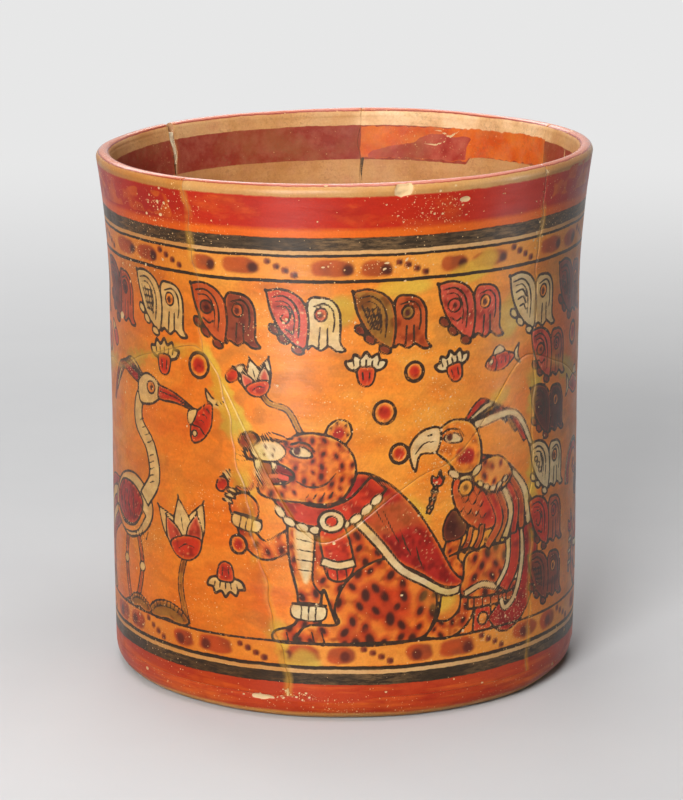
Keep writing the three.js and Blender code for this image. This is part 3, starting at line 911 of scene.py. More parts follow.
def paint_ground():
    """The slip ground: orange over most of the wall, more golden towards the signs, uneven everywhere."""
    loose = drifted()
    fine = 0.5 * lattice(*loose, 5, 3, 53) + 0.5 * lattice(*loose, 1.7, 1.1, 60)
    gold = smooth((WALL_UP - 118) / 34) * 0.4 + 0.4 * smooth((lattice(*loose, 46, 30, 51) - 0.5) / 0.35)
    gold += 0.35 * (lattice(*loose, 26, 6, 52) - 0.5)
    ground = mix(ORANGE, GOLD, np.clip(gold, 0, 0.75))
    ground = mix(ground, DEEP_ORANGE, 0.45 * smooth((lattice(*loose, 30, 18, 54) - 0.52) / 0.35))
    ground = mix(ground, GRIME, 0.4 * smooth((lattice(*loose, 18, 9, 66) - 0.62) / 0.3))
    grainy = lattice(WALL_TURN, WALL_UP, 0.7, 0.5, 61)
    slip[:] = ground * (0.89 + 0.12 * fine[..., None] + 0.07 * grainy[..., None])
    belts = ((WALL_UP > SPOTS_LOW[0]) & (WALL_UP < SPOTS_LOW[1])) | (WALL_UP > SPOTS_HIGH[0])
    slip[:] = mix(slip, mix(BELT_ORANGE, BELT_GOLD, fine), 0.7 * belts)


def off_joins():
    """How far each cell lies from the nearest join, in millimetres."""
    course = course_height(WALL_TURN)
    away = np.abs(WALL_UP - course) * 0.8
    for lines, above in ((UPPER_BREAKS, True), (LOWER_BREAKS, False)):
        for line in lines:
            aside = np.abs(half_turn(WALL_TURN - break_turn(line, WALL_UP))) * BODY_RADIUS
            away = np.minimum(away, np.where((WALL_UP > course) == above, aside, np.inf))
    return away


def paint_mends(strength):
    """Yellowed retouching: a broken, grainy belt along the joins, and a few patches further out."""
    runs = smooth((lattice(WALL_TURN, WALL_UP, 19, 15, 171) - 0.4) / 0.25)
    ragged = lattice(WALL_TURN, WALL_UP, 3.4, 3, 172) + 0.7 * lattice(WALL_TURN, WALL_UP, 1.1, 1, 173) - 0.85
    width = RETOUCH_WIDTH * (0.5 + 1.1 * lattice(WALL_TURN, WALL_UP, 26, 20, 174))
    share = runs * smooth((width - off_joins() + 3 * ragged) / 3)
    green = smooth((lattice(WALL_TURN, WALL_UP, 9, 9, 175) - 0.4) / 0.3)
    slip[:] = mix(slip, mix(MEND, MEND_GREEN, green), strength * share)
    for k, (degrees, level, across, tall) in enumerate(MENDS):
        colour = MEND if k % 3 else MEND_GREEN
        tilt = MEND_TURN * (k % 3 - 1)
        wash(math.radians(degrees) * BODY_RADIUS, level, across, tall, colour, MEND_STRENGTH * strength, tilt)


# What is drawn, and where: millimetres round the wall and above the ground line, scale, facing and tilt
STEMS = [(-132, 62, [(0, 0), (3, -20), (-2, -44), (2, -60)]), (-57, 27, [(0, 0), (-3, -12), (0, -26)]),
         (237, 30, [(0, 0), (3, -14), (0, -29)])]
MOTIFS = [
    (heron, -91, 0, 1.06), (spotted_cat, 3, 0, 1.03, -1), (bench, 56, 0, 0.92, -1),
    (plumed_bird, 55, -1, 0.92, -1), (spotted_cat, 149, 0, 1.03), (bench, 216, 0), (plumed_bird, 214, 0),
    (bowl, 263, 0, 0.72), (heron, 293, 0, 0.95, -1),
    (lily_pad, -120, 1, 0.9), (lily_flower, -132, 62, 1.2, 1, 10), (shell, -147, 18, 0.65, 1, 8),
    (volute, -157, 44, 0.62), (fish, -146, 88, 0.8, 1, -12), (disc, -114, 90, 4.6),
    (bud, -103, 92, 0.7, 1, 40), (torch, -120, 44, 0.8, 1, 12), (lily_pad, -67, 0.6, 0.8),
    (lily_pad, -84, 0.6, 0.6),
    (lily_flower, -57, 27, 1.05, 1, 12), (blossom, -67, 91, 0.85), (disc, -51, 91, 4.0),
    (blossom, -41, 20, 0.85, 1, 180), (bud, -42, 52, 0.6, 1, -30), (disc, -36, 32, 3.0),
    (bud, -38, 89, 0.6, 1, -50), (blossom, 7, 92, 0.8), (disc, 13, 78, 3.6), (disc, 23, 91, 3.0),
    (disc, 18, 64, 3.0), (torch, 28, 43, 0.55, 1, -16), (blossom, 37, 91, 0.75, 1, 16),
    (fish, 56, 91, 0.62, -1, 8),
    (volute, 99, 40, 0.66), (disc, 123, 62, 4.2), (blossom, 124, 84), (fish, 106, 74, 0.7, 1, -6),
    (disc, 103, 92, 3.6), (torch, 103, 8, 0.8, 1, -6), (shell, 150, 86, 0.6, 1, -6),
    (blossom, 199, 92, 0.9, 1, 180), (disc, 190, 60, 3.2), (lily_pad, 240, 0.6, 0.7),
    (lily_flower, 237, 30, 0.9, 1, 12), (disc, 240, 57, 3.0), (disc, 252, 91, 4.2), (blossom, 284, 93, 0.9),
    (fish, 265, 47, 0.7, -1, 10), (torch, 313, 50, 0.8, 1, 10), (disc, 314, 88, 4),
]


def paint_wall():
    """Everything on the wall, in the order in which it was painted and mended."""
    paint_ground()
    spotted_band(*SPOTS_HIGH, **HIGH_SPOTS)
    spotted_band(*SPOTS_LOW, **LOW_SPOTS)
    paint_mends(RETOUCH_UNDER)
    for s, z, points in STEMS:
        stem(Place(s, GROUND_LINE + z), points, 2.2)
    for draw, s, z, *pose in MOTIFS:
        draw(Place(s, GROUND_LINE + z, *pose))
    for k, (left, right) in enumerate(SIGN_COLOURS):
        rise = chance.uniform(-0.5, 0.5)
        sign(Place(SIGN_START + k * SIGN_PITCH, SIGNS_MIDDLE + rise, tilt=SIGN_TILT), left, right, k)
    for s in COLUMNS_AT:
        for k, (left, right) in enumerate(COLUMN_COLOURS):
            place = Place(s, COLUMN_TOP - COLUMN_PITCH * k, COLUMN_SCALE, tilt=SIGN_TILT)
            sign(place, left, right, k + 2)
    paint_mends(RETOUCH_OVER)
    stroke(Place(0, GROUND_LINE), [(x / 40 * ROUND, 0.15 * math.sin(x * 1.7)) for x in range(41)], 0.95)


paint_wall()


# Places where the surface is lost: degrees round, level, half width, half height and depth
LOSSES = [
    (12.7, 179.2, 3.0, 2.6, 0.9), (-4, 181.2, 0.9, 0.6, 0.3), (27.5, 174.2, 1.9, 1.0, 0.3),
    (-46, 167.5, 1.0, 0.8, 0.25), (-46.6, 172, 0.6, 0.5, 0.2), (-50, 171, 0.6, 0.4, 0.2),
    (22, 170, 0.6, 0.5, 0.2), (-20, 7.6, 3.6, 1.0, 0.35), (-13.5, 9.8, 0.4, 1.4, 0.2),
    (35, 9, 0.9, 0.5, 0.2), (-57, 7, 0.8, 0.5, 0.2), (64, 5.5, 1.2, 0.6, 0.3), (98, 178, 2.6, 1.8, 0.6),
    (150, 179.5, 3.4, 2.0, 0.8), (214, 178.6, 2.4, 1.6, 0.6), (262, 6.5, 4.0, 1.8, 0.4),
    (188, 8, 3.2, 1.4, 0.35), (140, 96, 2.4, 1.5, 0.3), (236, 60, 2.0, 2.6, 0.3),
    (292, 128, 1.8, 1.2, 0.25), (208, 152, 2.2, 1.0, 0.25),
]
PIT_COUNT = 420
PIT_SIZE = (0.2, 0.55)
PIT_DEPTH = 0.16
# Belts and stretches where the slip has flaked most: degrees, level, and how far each reaches
FLAKED = [(-47, 171, 7, 5), (20, 171, 12, 6), (51.5, 165, 2.5, 12), (10, 154, 14, 3), (22, 92, 10, 26),
          (-12, 134, 14, 9), (-64, 25, 10, 8), (-12, 9, 12, 2), (120, 166, 14, 6), (200, 90, 18, 22),
          (250, 30, 18, 10), (300, 150, 16, 8), (165, 140, 12, 12), (40, 30, 20, 10)]
# Sherds whose slip is darkened, and by how much: painted shade where the light falls off round the vase,
# partly a deeper tone of these sherds
SHERD_SHADE_AND_TONE = {"painted_upper_left_sherd": 1.0, "painted_lower_left_sherd": 0.9, "painted_upper_right_sherd": 0.5,
          "painted_lower_back_sherd": 0.4, "painted_upper_back_sherd": 0.2}
# Signed distance of a place that is well clear of a mark
OUTSIDE_MARK = -5.0
# The painted wall is read up to this level, a little below its top
PAINT_READ_TOP = PAINT_TOP - 2
# The unpainted clay inside is paler, partly painted light on the far inside wall and partly paler made-good
# clay, from where the red band is short to this turn, in degrees
PALE_TO = 178

# Even steps start this far inside a worn edge, past its close steps
WORN_MARGIN = EDGE_STEPS[-1] + 0.2
# Rounds in which a grid settles between four sides that all wander
SETTLE_ROUNDS = 14
# Places round a sherd at which its height is measured
RISE_PROBES = 40
LIP_ROWS = 24
LIP_ORDER_STEP = 0.001
FILLET_ROWS = 7
# The inside starts this far below the end of the lip
BELOW_LIP = 0.3
# Stands in for the fourth corner of a triangle
NO_CORNER = -1
# Numbers of a sherd's materials
SLIP = 0
CLAY = 1
SHARP_ANGLE = 50

# The flat map of each mesh, and the heights on it between which each side of a sherd lies
BAKE_MAP = "OFBake"
SEAM_SAFE = 0.004
OUTSIDE_BOX = (0.36, 0.995)
TOP_BOX = (0.352, 0.356)
INSIDE_BOX = (0.1, 0.35)
HIGH_BREAK_BOX = (0.07, 0.09)
LOW_BREAK_BOX = (0.045, 0.065)
RIGHT_BREAK_BOX = (0.025, 0.04)
LEFT_BREAK_BOX = (0.004, 0.02)


def profile(level):
    """Radius, height and outward direction of the section at a level of the outside or the lip."""
    over = np.clip((level - LIP_START) / LIP_RADIUS, 0, math.pi)
    on_wall = level < LIP_START
    lip_radius = RIM_RADIUS - LIP_RADIUS + LIP_RADIUS * np.cos(over)
    radius = np.where(on_wall, outer_radius(np.minimum(level, LIP_START)), lip_radius)
    height = np.where(on_wall, level, LIP_CENTRE_HEIGHT + LIP_RADIUS * np.sin(over))
    return radius, height, np.cos(over), np.sin(over)


def near_place(turn, level, degrees, at, across, up):
    """Distance from a place on the wall, as a share of an oval's size."""
    return np.hypot(half_turn(turn - math.radians(degrees)) * BODY_RADIUS / across, (level - at) / up)


def pits():
    """Small losses, scattered with most of them where the slip has flaked."""
    draw = np.random.default_rng(23)
    found = list(LOSSES)
    for k in range(PIT_COUNT):
        if k % 3:
            degrees, at, across, up = FLAKED[k % len(FLAKED)]
            aside, rise = draw.normal(0, 0.6, 2)
            place = (degrees + math.degrees(aside * across / BODY_RADIUS), at + rise * up)
        else:
            place = (draw.uniform(-180, 180), draw.uniform(4, 176))
        size = draw.uniform(*PIT_SIZE)
        found.append((*place, size, size * draw.uniform(0.6, 1.1), PIT_DEPTH * draw.uniform(0.6, 1.3)))
    return found


PITS = pits()


def carve(turn, level):
    """How deep the surface is worn away at each point, and how far inside a loss it lies (above 0)."""
    depth = 0 * turn
    lost = depth - 1
    swing = half_turn(turn)
    ragged = lattice(turn, level, 1.7, 1.5, 61) - 0.5
    for degrees, at, across, up, deep in PITS:
        aside = np.abs(swing - half_turn(math.radians(degrees))) * BODY_RADIUS
        close = (aside < 2 * across) & (np.abs(level - at) < 2 * up)
        if close.any():
            near = near_place(turn[close], level[close], degrees, at, across, up) + 0.7 * ragged[close]
            depth[close] = np.maximum(depth[close], deep * smooth((1.05 - near) / 0.45))
            lost[close] = np.maximum(lost[close], 1 - near)
    return depth, lost


def relief(turn, level, seed):
    """The potter's unevenness: broad swells, and faint ridges that run round from smoothing."""
    broad = lattice(turn, level, 62, 44, seed) - 0.5
    medium = lattice(turn, level, 21, 12, seed + 1) - 0.5
    ridges = lattice(turn, level, 48, 3.2, seed + 2) - 0.5
    return 0.5 * broad + 0.16 * medium + 0.07 * ridges


def place_points(turn, radius, height):
    """Points in metres, with the rim's waves, and with its rise taken up evenly over the height."""
    height = height + (lattice(turn, 0 * turn, 40, 10, 71) - 0.5) * 0.9 * smooth((height - 140) / 40)
    x = radius * np.sin(turn)
    z = height + RIM_RISE * x / RIM_RADIUS * height / HEIGHT
    return np.stack([x, -radius * np.cos(turn), z], -1) / METRE


def sample(field, turn, height):
    """A painted field read between its cells."""
    a = (turn * BODY_RADIUS / CELL - 0.5) % COLUMNS
    b = np.clip(height / CELL - 0.5, 0, ROWS - 1.001)
    i = np.floor(a).astype(int)
    j = np.floor(b).astype(int)
    u = (a - i).reshape(len(a), *[1] * (field.ndim - 2))
    v = (b - j).reshape(u.shape)
    left, right = i % COLUMNS, (i + 1) % COLUMNS
    low = field[j, left] * (1 - u) + field[j, right] * u
    return low * (1 - v) + (field[j + 1, left] * (1 - u) + field[j + 1, right] * u) * v


def linear(colour):
    """Screen colours out of 255 as light."""
    share = np.clip(np.asarray(colour, float) / 255, 0, 1)
    return np.where(share <= 0.04045, share / 12.92, ((share + 0.055) / 1.055) ** 2.4)


def steps_between(length, step, worn_start, worn_end):
    """Shares of a length at even steps, with closer ones at ends that are worn."""
    count = max(2, round(length / step))
    kept = [k / count * length for k in range(count + 1)]
    if worn_start:
        kept = [*EDGE_STEPS, *(d for d in kept if d > WORN_MARGIN)]
    if worn_end:
        kept = [*(d for d in kept if d < length - WORN_MARGIN), *(length - e for e in EDGE_STEPS)]
    return np.array(sorted({round(d, 4) for d in kept})) / length


def stitch(first, second, along_first, along_second):
    """Triangles between two rows of corners that have unlike counts."""
    found = []
    i = 0
    j = 0
    while i < len(first) - 1 or j < len(second) - 1:
        ahead_first = along_first[i + 1] if i < len(first) - 1 else math.inf
        ahead_second = along_second[j + 1] if j < len(second) - 1 else math.inf
        if ahead_first <= ahead_second:
            found.append((first[i], first[i + 1], second[j], NO_CORNER))
            i += 1
        else:
            found.append((first[i], second[j + 1], second[j], NO_CORNER))
            j += 1
    return np.array(found)


def grid_faces(numbers):
    corners = numbers[:-1, :-1], numbers[:-1, 1:], numbers[1:, 1:], numbers[1:, :-1]
    return np.stack(corners, -1).reshape(-1, 4)


def ring(numbers):
    """Numbers of points that go round, with the first one repeated at the end."""
    return np.concatenate([numbers, numbers[:, :1]], 1)


def fan(row_of_corners, tip, upwards):
    """Triangles from a row of corners to a tip."""
    pairs = zip(row_of_corners, row_of_corners[1:])
    return np.array([(a, b, tip, NO_CORNER) if upwards else (tip, b, a, NO_CORNER) for a, b in pairs])


def joined(first, second, name):
    """A value of two grids, as one row."""
    return np.concatenate([vars(grid)[name].ravel() for grid in (first, second)])


def map_box(across, along, low, high):
    """Places on the flat map: shares across, and shares along between two heights of the map."""
    across = SEAM_SAFE + (1 - 2 * SEAM_SAFE) * across
    across, along = np.broadcast_arrays(across, low + (high - low) * along)
    return np.stack([across, along], -1).reshape(-1, 2)


def add_field(mesh, name, values):
    """What the materials read at each point: a number or a colour."""
    if values.ndim == 2:
        attribute = mesh.attributes.new(name, "FLOAT_COLOR", "POINT")
        opaque = np.concatenate([values, np.ones((len(values), 1))], 1)
        attribute.data.foreach_set("color", opaque.astype(np.float32).ravel())
    else:
        attribute = mesh.attributes.new(name, "FLOAT", "POINT")
        attribute.data.foreach_set("value", values.astype(np.float32))


def build_mesh(name, points, parts, fields):
    """A closed mesh. Each part is its faces, its material's number and where its corners lie on the map."""
    mesh = bpy.data.meshes.new(name)
    faces = np.concatenate([part[0] for part in parts])
    used = faces != NO_CORNER
    corners = faces[used]
    totals = used.sum(1)
    kinds = np.concatenate([np.full(len(part[0]), part[1]) for part in parts])
    mesh.vertices.add(len(points))
    mesh.vertices.foreach_set("co", points.astype(np.float32).ravel())
    mesh.loops.add(len(corners))
    mesh.loops.foreach_set("vertex_index", corners.astype(np.int32))
    mesh.polygons.add(len(faces))
    mesh.polygons.foreach_set("loop_start", (np.cumsum(totals) - totals).astype(np.int32))
    mesh.polygons.foreach_set("material_index", kinds.astype(np.int32))
    mesh.update(calc_edges=True)
    mesh.polygons.foreach_set("use_smooth", np.ones(len(faces), bool))
    places = np.concatenate([part[2][part[0][part[0] != NO_CORNER]] for part in parts])
    layer = mesh.uv_layers.new(name=BAKE_MAP, do_init=False)
    layer.uv.foreach_set("vector", places.astype(np.float32).ravel())
    for field, values in fields.items():
        add_field(mesh, field, values)
    mesh.validate()
    mesh.set_sharp_from_angle(angle=math.radians(SHARP_ANGLE))
    piece = bpy.data.objects.new(name, mesh)
    bpy.context.scene.collection.objects.link(piece)
    return piece


def upper_buff(turn):
    """The unpainted clay above the red band of the inside, paler on the stretch that was made good: partly
    painted light on the far inside wall.
    """
    degrees = np.degrees(turn) % 360
    return mix(BUFF, LIT_AND_MADE_GOOD_BUFF, between(degrees, SHORT_FROM, PALE_TO, 3, 3))


def worn(turn, level):
    """How likely the slip is to be speckled with losses, from 0 to 1."""
    amount = 0.12 + 0.5 * smooth((lattice(turn, level, 26, 18, 101) - 0.55) / 0.4)
    for degrees, at, across, up in FLAKED:
        amount = np.maximum(amount, 1.15 - near_place(turn, level, degrees, at, across * 1.5, up * 1.5))
    return np.clip(amount, 0, 1)


def wall_fields(name, turn, level, height, edge, lost):
    """What the materials read at each point of a sherd."""
    painted = level < PAINT_READ_TOP
    marks = inner_marks(turn, level)
    painted_ink = np.where(painted, sample(ink, turn, height), FAR)
    return {
        "paint": linear(np.where(painted[:, None], sample(slip, turn, height), upper_buff(turn))),
        "ink": np.minimum(painted_ink, -marks["cracked"]),
        "level": level + short_band(turn, level),
        "edge": edge,
        "lost": np.maximum(lost, marks["flaked"]),
        "worn": worn(turn, level),
        # Painted shade on this sherd, partly its deeper tone
        "deep": np.full(len(level), SHERD_SHADE_AND_TONE.get(name, 0.0)),
        "repaint": np.maximum(marks["repaint"], patched_red(turn, level)),
        "old_red": marks["old_red"],
    }


class Sherd:
    """One sherd of the wall, between two breaks that run up it, over or under the break round it."""

    def __init__(self, name, breaks, k, upper):
        self.name = name
        self.upper = upper
        self.line_from = breaks[k]
        self.line_to = breaks[(k + 1) % len(breaks)]
        self.full_turn = 0 if k + 1 < len(breaks) else 2 * math.pi
        start, end = self.sides(np.array(self.high(0.0) * 0.75))
        turns = np.linspace(start, end, RISE_PROBES)
        self.width = float(end - start) * BODY_RADIUS
        self.rise = float(np.mean(self.high(turns) - self.low(turns)))

    def sides(self, height):
        """The turns where the sherd starts and ends at a height."""
        start = break_turn(self.line_from, height) + break_half_width(self.line_from, height) / BODY_RADIUS
        end = break_turn(self.line_to, height) + self.full_turn
        return start, end - break_half_width(self.line_to, height) / BODY_RADIUS

    def low(self, turn):
        return course_height(turn) + HAIRLINE / 2 if self.upper else WALL_FOOT + 0 * turn

    def high(self, turn):
        return LIP_START + 0 * turn if self.upper else course_height(turn) - HAIRLINE / 2

    def turn_at(self, u, height):
        """The turn at a share across and a height."""
        start, end = self.sides(height)
        return start + u * (end - start)

    def settle(self, u, v, low):
        """Turn and height of a share across and a share up, where all four sides of the sherd wander."""
        height = np.full(np.broadcast(u, v).shape, HEIGHT / 2.0)
        for _ in range(SETTLE_ROUNDS):
            turn = self.turn_at(u, height)
            height = low(turn) + v * (self.high(turn) - low(turn))
        return turn, height

    def outside(self):
        """The fine grid of the painted side, with the lip on an upper sherd."""
        u = steps_between(self.width, FINE_STEP, True, True)
        v = steps_between(self.rise, FINE_STEP, self.upper, not self.upper)
        turn, level = self.settle(u, v[:, None], self.low)
        share = v if self.upper else 1 - v
        if self.upper:
            lip = np.linspace(LIP_START, LIP_END, LIP_ROWS + 1)[1:, None] + 0 * u
            turn = np.concatenate([turn, self.turn_at(u, profile(lip)[1])])
            level = np.concatenate([level, lip])
            share = np.append(share, np.ones(LIP_ROWS))
        radius, height, out, up = profile(level)
        from_start = u * self.width
        edge = np.minimum(np.minimum(from_start, self.width - from_start), share[:, None] * self.rise)
        deep, lost = carve(turn, level)
        move = relief(turn, level, 81) * (1 - smooth((level - LIP_START) / 6) * 0.5) - deep
        move -= EDGE_WEAR * np.exp(-((edge / EDGE_WEAR_WIDTH) ** 2))
        points = place_points(turn, radius + out * move, height + up * move)
        # The lip falls again inside, so its rows are told apart by their order and not by their height
        order = np.arange(len(level))[:, None]
        climb = np.where(order < len(v), height, LIP_START + LIP_ORDER_STEP * order)
        return SimpleNamespace(u=u, climb=climb, turn=turn, level=level, height=height, edge=edge, lost=lost,
                               points=points)

    def inside(self):
        """The coarser grid of the inside, from the lip down, with the fillet on a lower sherd."""
        step = INNER_STEP if self.upper else COARSE_STEP
        u = steps_between(self.width, step, False, False)
        v = np.linspace(0, 1, max(3, round(self.rise / step)))[::-1, None].copy()
        if self.upper:
            v[0] = 1 - BELOW_LIP / self.rise
            turn, height = self.settle(u, v, self.low)
        else:
            foot = WALL_FOOT + INNER_FILLET_RADIUS
            turn, height = self.settle(u, v, lambda at: foot + 0 * at)
            sweep = np.linspace(0, math.pi / 2, FILLET_ROWS + 1)[1:, None]
            fillet = foot - INNER_FILLET_RADIUS * np.sin(sweep) + 0 * u
            turn = np.concatenate([turn, self.turn_at(u, fillet)])
            height = np.concatenate([height, fillet])
        move = relief(turn, height, 91) * smooth((LIP_START - height) / 6)
        edge = np.minimum(u, 1 - u) * self.width + 0 * turn
        points = place_points(turn, inner_radius(height) - move, height)
        return SimpleNamespace(u=u, climb=np.sort(height, 0), turn=turn, level=LIP_END + LIP_START - height,
                               height=height, edge=edge, lost=0 * turn - 1, points=points)

    def build(self):
        """The mesh: the two grids, and the clay of the breaks between them."""
        outer, inner = self.outside(), self.inside()
        numbers = np.arange(outer.turn.size).reshape(outer.turn.shape)
        inner_numbers = outer.turn.size + np.arange(inner.turn.size).reshape(inner.turn.shape)
        flat = np.concatenate([map_box(grid.u, (grid.level - grid.level.min()) / np.ptp(grid.level), *box)
                               for grid, box in ((outer, OUTSIDE_BOX), (inner, INSIDE_BOX))])
        is_inner = (np.arange(len(flat)) >= outer.turn.size).astype(float)
        names = ("turn", "level", "height", "edge", "lost")
        turn, level, height, edge, lost = (joined(outer, inner, name) for name in names)
        points = joined(outer, inner, "points").reshape(-1, 3)
        tall = height / HEIGHT
        sides = [
            (stitch(numbers[-1], inner_numbers[0], outer.u, inner.u), flat[:, 0],
             TOP_BOX if self.upper else HIGH_BREAK_BOX),
            (stitch(inner_numbers[-1], numbers[0], inner.u, outer.u), flat[:, 0], LOW_BREAK_BOX),
            (stitch(inner_numbers[::-1, -1], numbers[:, -1], inner.climb[:, -1], outer.climb[:, -1]), tall,
             RIGHT_BREAK_BOX),
            (stitch(numbers[:, 0], inner_numbers[::-1, 0], outer.climb[:, 0], inner.climb[:, 0]), tall,
             LEFT_BREAK_BOX),
        ]
        parts = [(grid_faces(numbers), SLIP, flat), (grid_faces(inner_numbers), SLIP, flat)]
        for faces, across, box in sides:
            parts.append((faces, SLIP if box == TOP_BOX else CLAY, map_box(across, is_inner, *box)))
        fields = wall_fields(self.name, turn, level, height, edge, lost)
        return build_mesh(self.name, points, parts, fields)


# Marks on the inside of the rim: degrees round, and millimetres below the lip
OVERPAINTED = [(116.6, 2.1), (131.7, 2.5), (141.9, 2.9), (156.8, 3.4), (165.1, 3.6), (175.6, 3.6),
               (175.6, 15.1), (150.4, 14.9), (145, 14.6), (144.2, 13.6), (141.1, 12.5), (136, 12.5),
               (130.5, 12.6), (122.3, 12.3), (115.8, 11.6)]
OLD_RED = [(173.5, 15), (173.6, 13.7), (171.4, 12), (168.2, 10.8), (164.4, 10.1), (160.8, 9.1),
           (159.5, 7.4), (156.7, 6.1), (153, 5.6), (151.7, 6.6), (150, 6.4), (147.3, 5.7), (144.2, 6.2),
           (145.5, 9.5), (145.5, 14.1), (150.4, 14.9), (159.2, 14.8), (166.2, 14.9)]
# Where the overpaint has flaked: wedge-shaped patches along ragged lines
FLAKE_PATCHES = [
    [(160.8, 8.4), (158, 8.9), (155.1, 9.3), (152.2, 7.9), (151.6, 6.4), (152, 8.4), (154.8, 10.1),
     (158.3, 9.6)],
    [(155.9, 4.5), (153.9, 4.1), (152.4, 4.9), (150.9, 5.9), (149.5, 4.7), (147.9, 3.6), (148.9, 5.1),
     (150.8, 7), (152.8, 5.6), (154.3, 4.7)],
    [(104.5, 2.8), (104.2, 5.4), (103.3, 8.1), (102.8, 8), (103.6, 5.2), (104, 2.8)],
]
# Open cracks: thin dark wedges
CRACK_WEDGES = [
    [(175.6, 15), (174.6, 15), (175.1, 20.6), (175.1, 27), (175.8, 34), (175.9, 34), (175.4, 27),
     (175.6, 20.6)],
    [(161.8, 8.6), (161.6, 8.2), (160.4, 8.3)],
    [(230.1, -0.5), (230.4, 8.5), (231, 9.4), (230.8, 15.6), (231, 19), (231.2, 15.6), (231.5, 9.2),
     (230.8, 8.5), (230.6, -0.5)],
]
# Between these turns, in degrees, the band of red on the inside ends this much higher
SHORT_FROM = 112
SHORT_TO = 145.6
SHORT_BY = 3.1
# Between these turns, in degrees, lie the orange patches on the red band of the outside
PATCHED_LEFT = (-88, -41)
PATCHED_RIGHT = (53, 86)


def unrolled(degrees, drop):
    return np.radians(degrees) * BODY_RADIUS + 1j * np.asarray(drop, float)


def short_band(turn, level):
    """How much higher the red band ends on the stretch of the inside that was made good."""
    degrees = np.degrees(turn) % 360
    return SHORT_BY * between(degrees, SHORT_FROM, SHORT_TO, 2, 2) * smooth((level - LIP_END - 5) / 6)


def patched_red(turn, level):
    """Signed distances to patches of orange retouching on the red band, beside the joins at its front."""
    degrees = np.degrees(half_turn(turn))
    left = between(degrees, *PATCHED_LEFT, 8, 2) * between(level, 166, 177, 2, 2)
    right = between(degrees, *PATCHED_RIGHT, 2, 6) * smooth((level - 167) / 3) * 0.9
    patches = 0.6 * lattice(turn, level, 6, 4.4, 181) + 0.4 * lattice(turn, level, 2.2, 2.6, 182)
    return np.where(level < LIP_START, 4.5 * (patches * np.maximum(left, right) - 0.54), OUTSIDE_MARK)


def depth_in(cell, points):
    """Signed distance to an outline, above 0 inside it."""
    line = unrolled(*np.array(points).T)
    within = np.zeros(cell.shape, bool)
    away = np.full(cell.shape, np.inf)
    for p, q in zip(line, np.roll(line, -1)):
        crosses = (p.imag > cell.imag) != (q.imag > cell.imag)
        at = p.real + (cell.imag - p.imag) / (q.imag - p.imag + 1e-12) * (q.real - p.real)
        within ^= crosses & (cell.real < at)
        share = np.clip(((cell - p) * np.conj(q - p)).real / abs(q - p) ** 2, 0, 1)
        away = np.minimum(away, np.abs(cell - p - share * (q - p)))
    return np.where(within, away, -away)


def inner_marks(turn, level):
    """Signed distances to repairs, flaked edges and cracks on the inside of the rim, in millimetres."""
    drop = level - LIP_END
    near = (drop > -1) & (drop < 40)
    marks = {name: np.full(turn.shape, OUTSIDE_MARK) for name in ("repaint", "old_red", "flaked")}
    marks["cracked"] = np.full(turn.shape, -FAR)
    cell = unrolled(np.degrees(turn[near]) % 360, drop[near])
    if cell.size:
        wave = lattice(turn[near], drop[near], 1.3, 3, 111) - 0.5
        marks["repaint"][near] = depth_in(cell, OVERPAINTED) + 0.9 * wave
        marks["old_red"][near] = depth_in(cell, OLD_RED) + 0.5 * wave
        marks["flaked"][near] = np.max([depth_in(cell, points) for points in FLAKE_PATCHES], axis=0) - 0.08
        marks["cracked"][near] = np.max([depth_in(cell, points) for points in CRACK_WEDGES], axis=0)
    return marks


# The slab: its rounded edge and the low band of its side that shows under the wall
SLAB_COLUMNS = round(ROUND / FINE_STEP)
SLAB_ARC_ROWS = 20
SLAB_SIDE = np.array([6.5, 7, 7.5, 8, 8.2, 8.38, BASE_THICKNESS])
SLAB_SIDE_BOX = (0.6, 0.99)
SLAB_FLOOR_BOX = (0.3, 0.58)
SLAB_UNDER_BOX = (0.02, 0.28)
# Its two flat faces: rings of corners that close in on a centre
FACE_COLUMNS = 120
FACE_ROWS = 18
FACE_CORE = 4
# Levels of the floor go on from here, past those of the wall's inside
FLOOR_LEVEL = LEVEL_SPAN + 10
# The slab lies this far from every break, so no glue shows on it
CLEAR_OF_BREAKS = 9.0


def slab_edge():
    """The side of the slab, from its rounded worn edge up to its top: turns, levels, losses and points."""
    arc = np.linspace(-math.pi / 2, 0, SLAB_ARC_ROWS)
    turned_radius = FOOT_RADIUS - BASE_EDGE_RADIUS + BASE_EDGE_RADIUS * np.cos(arc)
    radius = np.concatenate([turned_radius, outer_radius(SLAB_SIDE)])[:, None]
    height = np.concatenate([BASE_EDGE_RADIUS + BASE_EDGE_RADIUS * np.sin(arc), SLAB_SIDE])[:, None]
    out = np.concatenate([np.cos(arc), np.ones(len(SLAB_SIDE))])[:, None]
    down = np.concatenate([np.sin(arc), np.zeros(len(SLAB_SIDE))])[:, None]
    turn = np.arange(SLAB_COLUMNS) / SLAB_COLUMNS * 2 * math.pi + 0 * height
    level = height + 0 * turn
    deep, lost = carve(turn, level)
    scuffed = smooth((lattice(turn, 0 * turn, 50, 10, 121) - 0.45) / 0.4)
    wear = 0.9 * scuffed * np.clip(1 - np.abs(out - 0.7) / 0.7, 0, 1)
    move = relief(turn, level, 81) * out - deep - wear
    return turn, level, lost, place_points(turn, radius + out * move, np.maximum(level + down * move, 0.0))


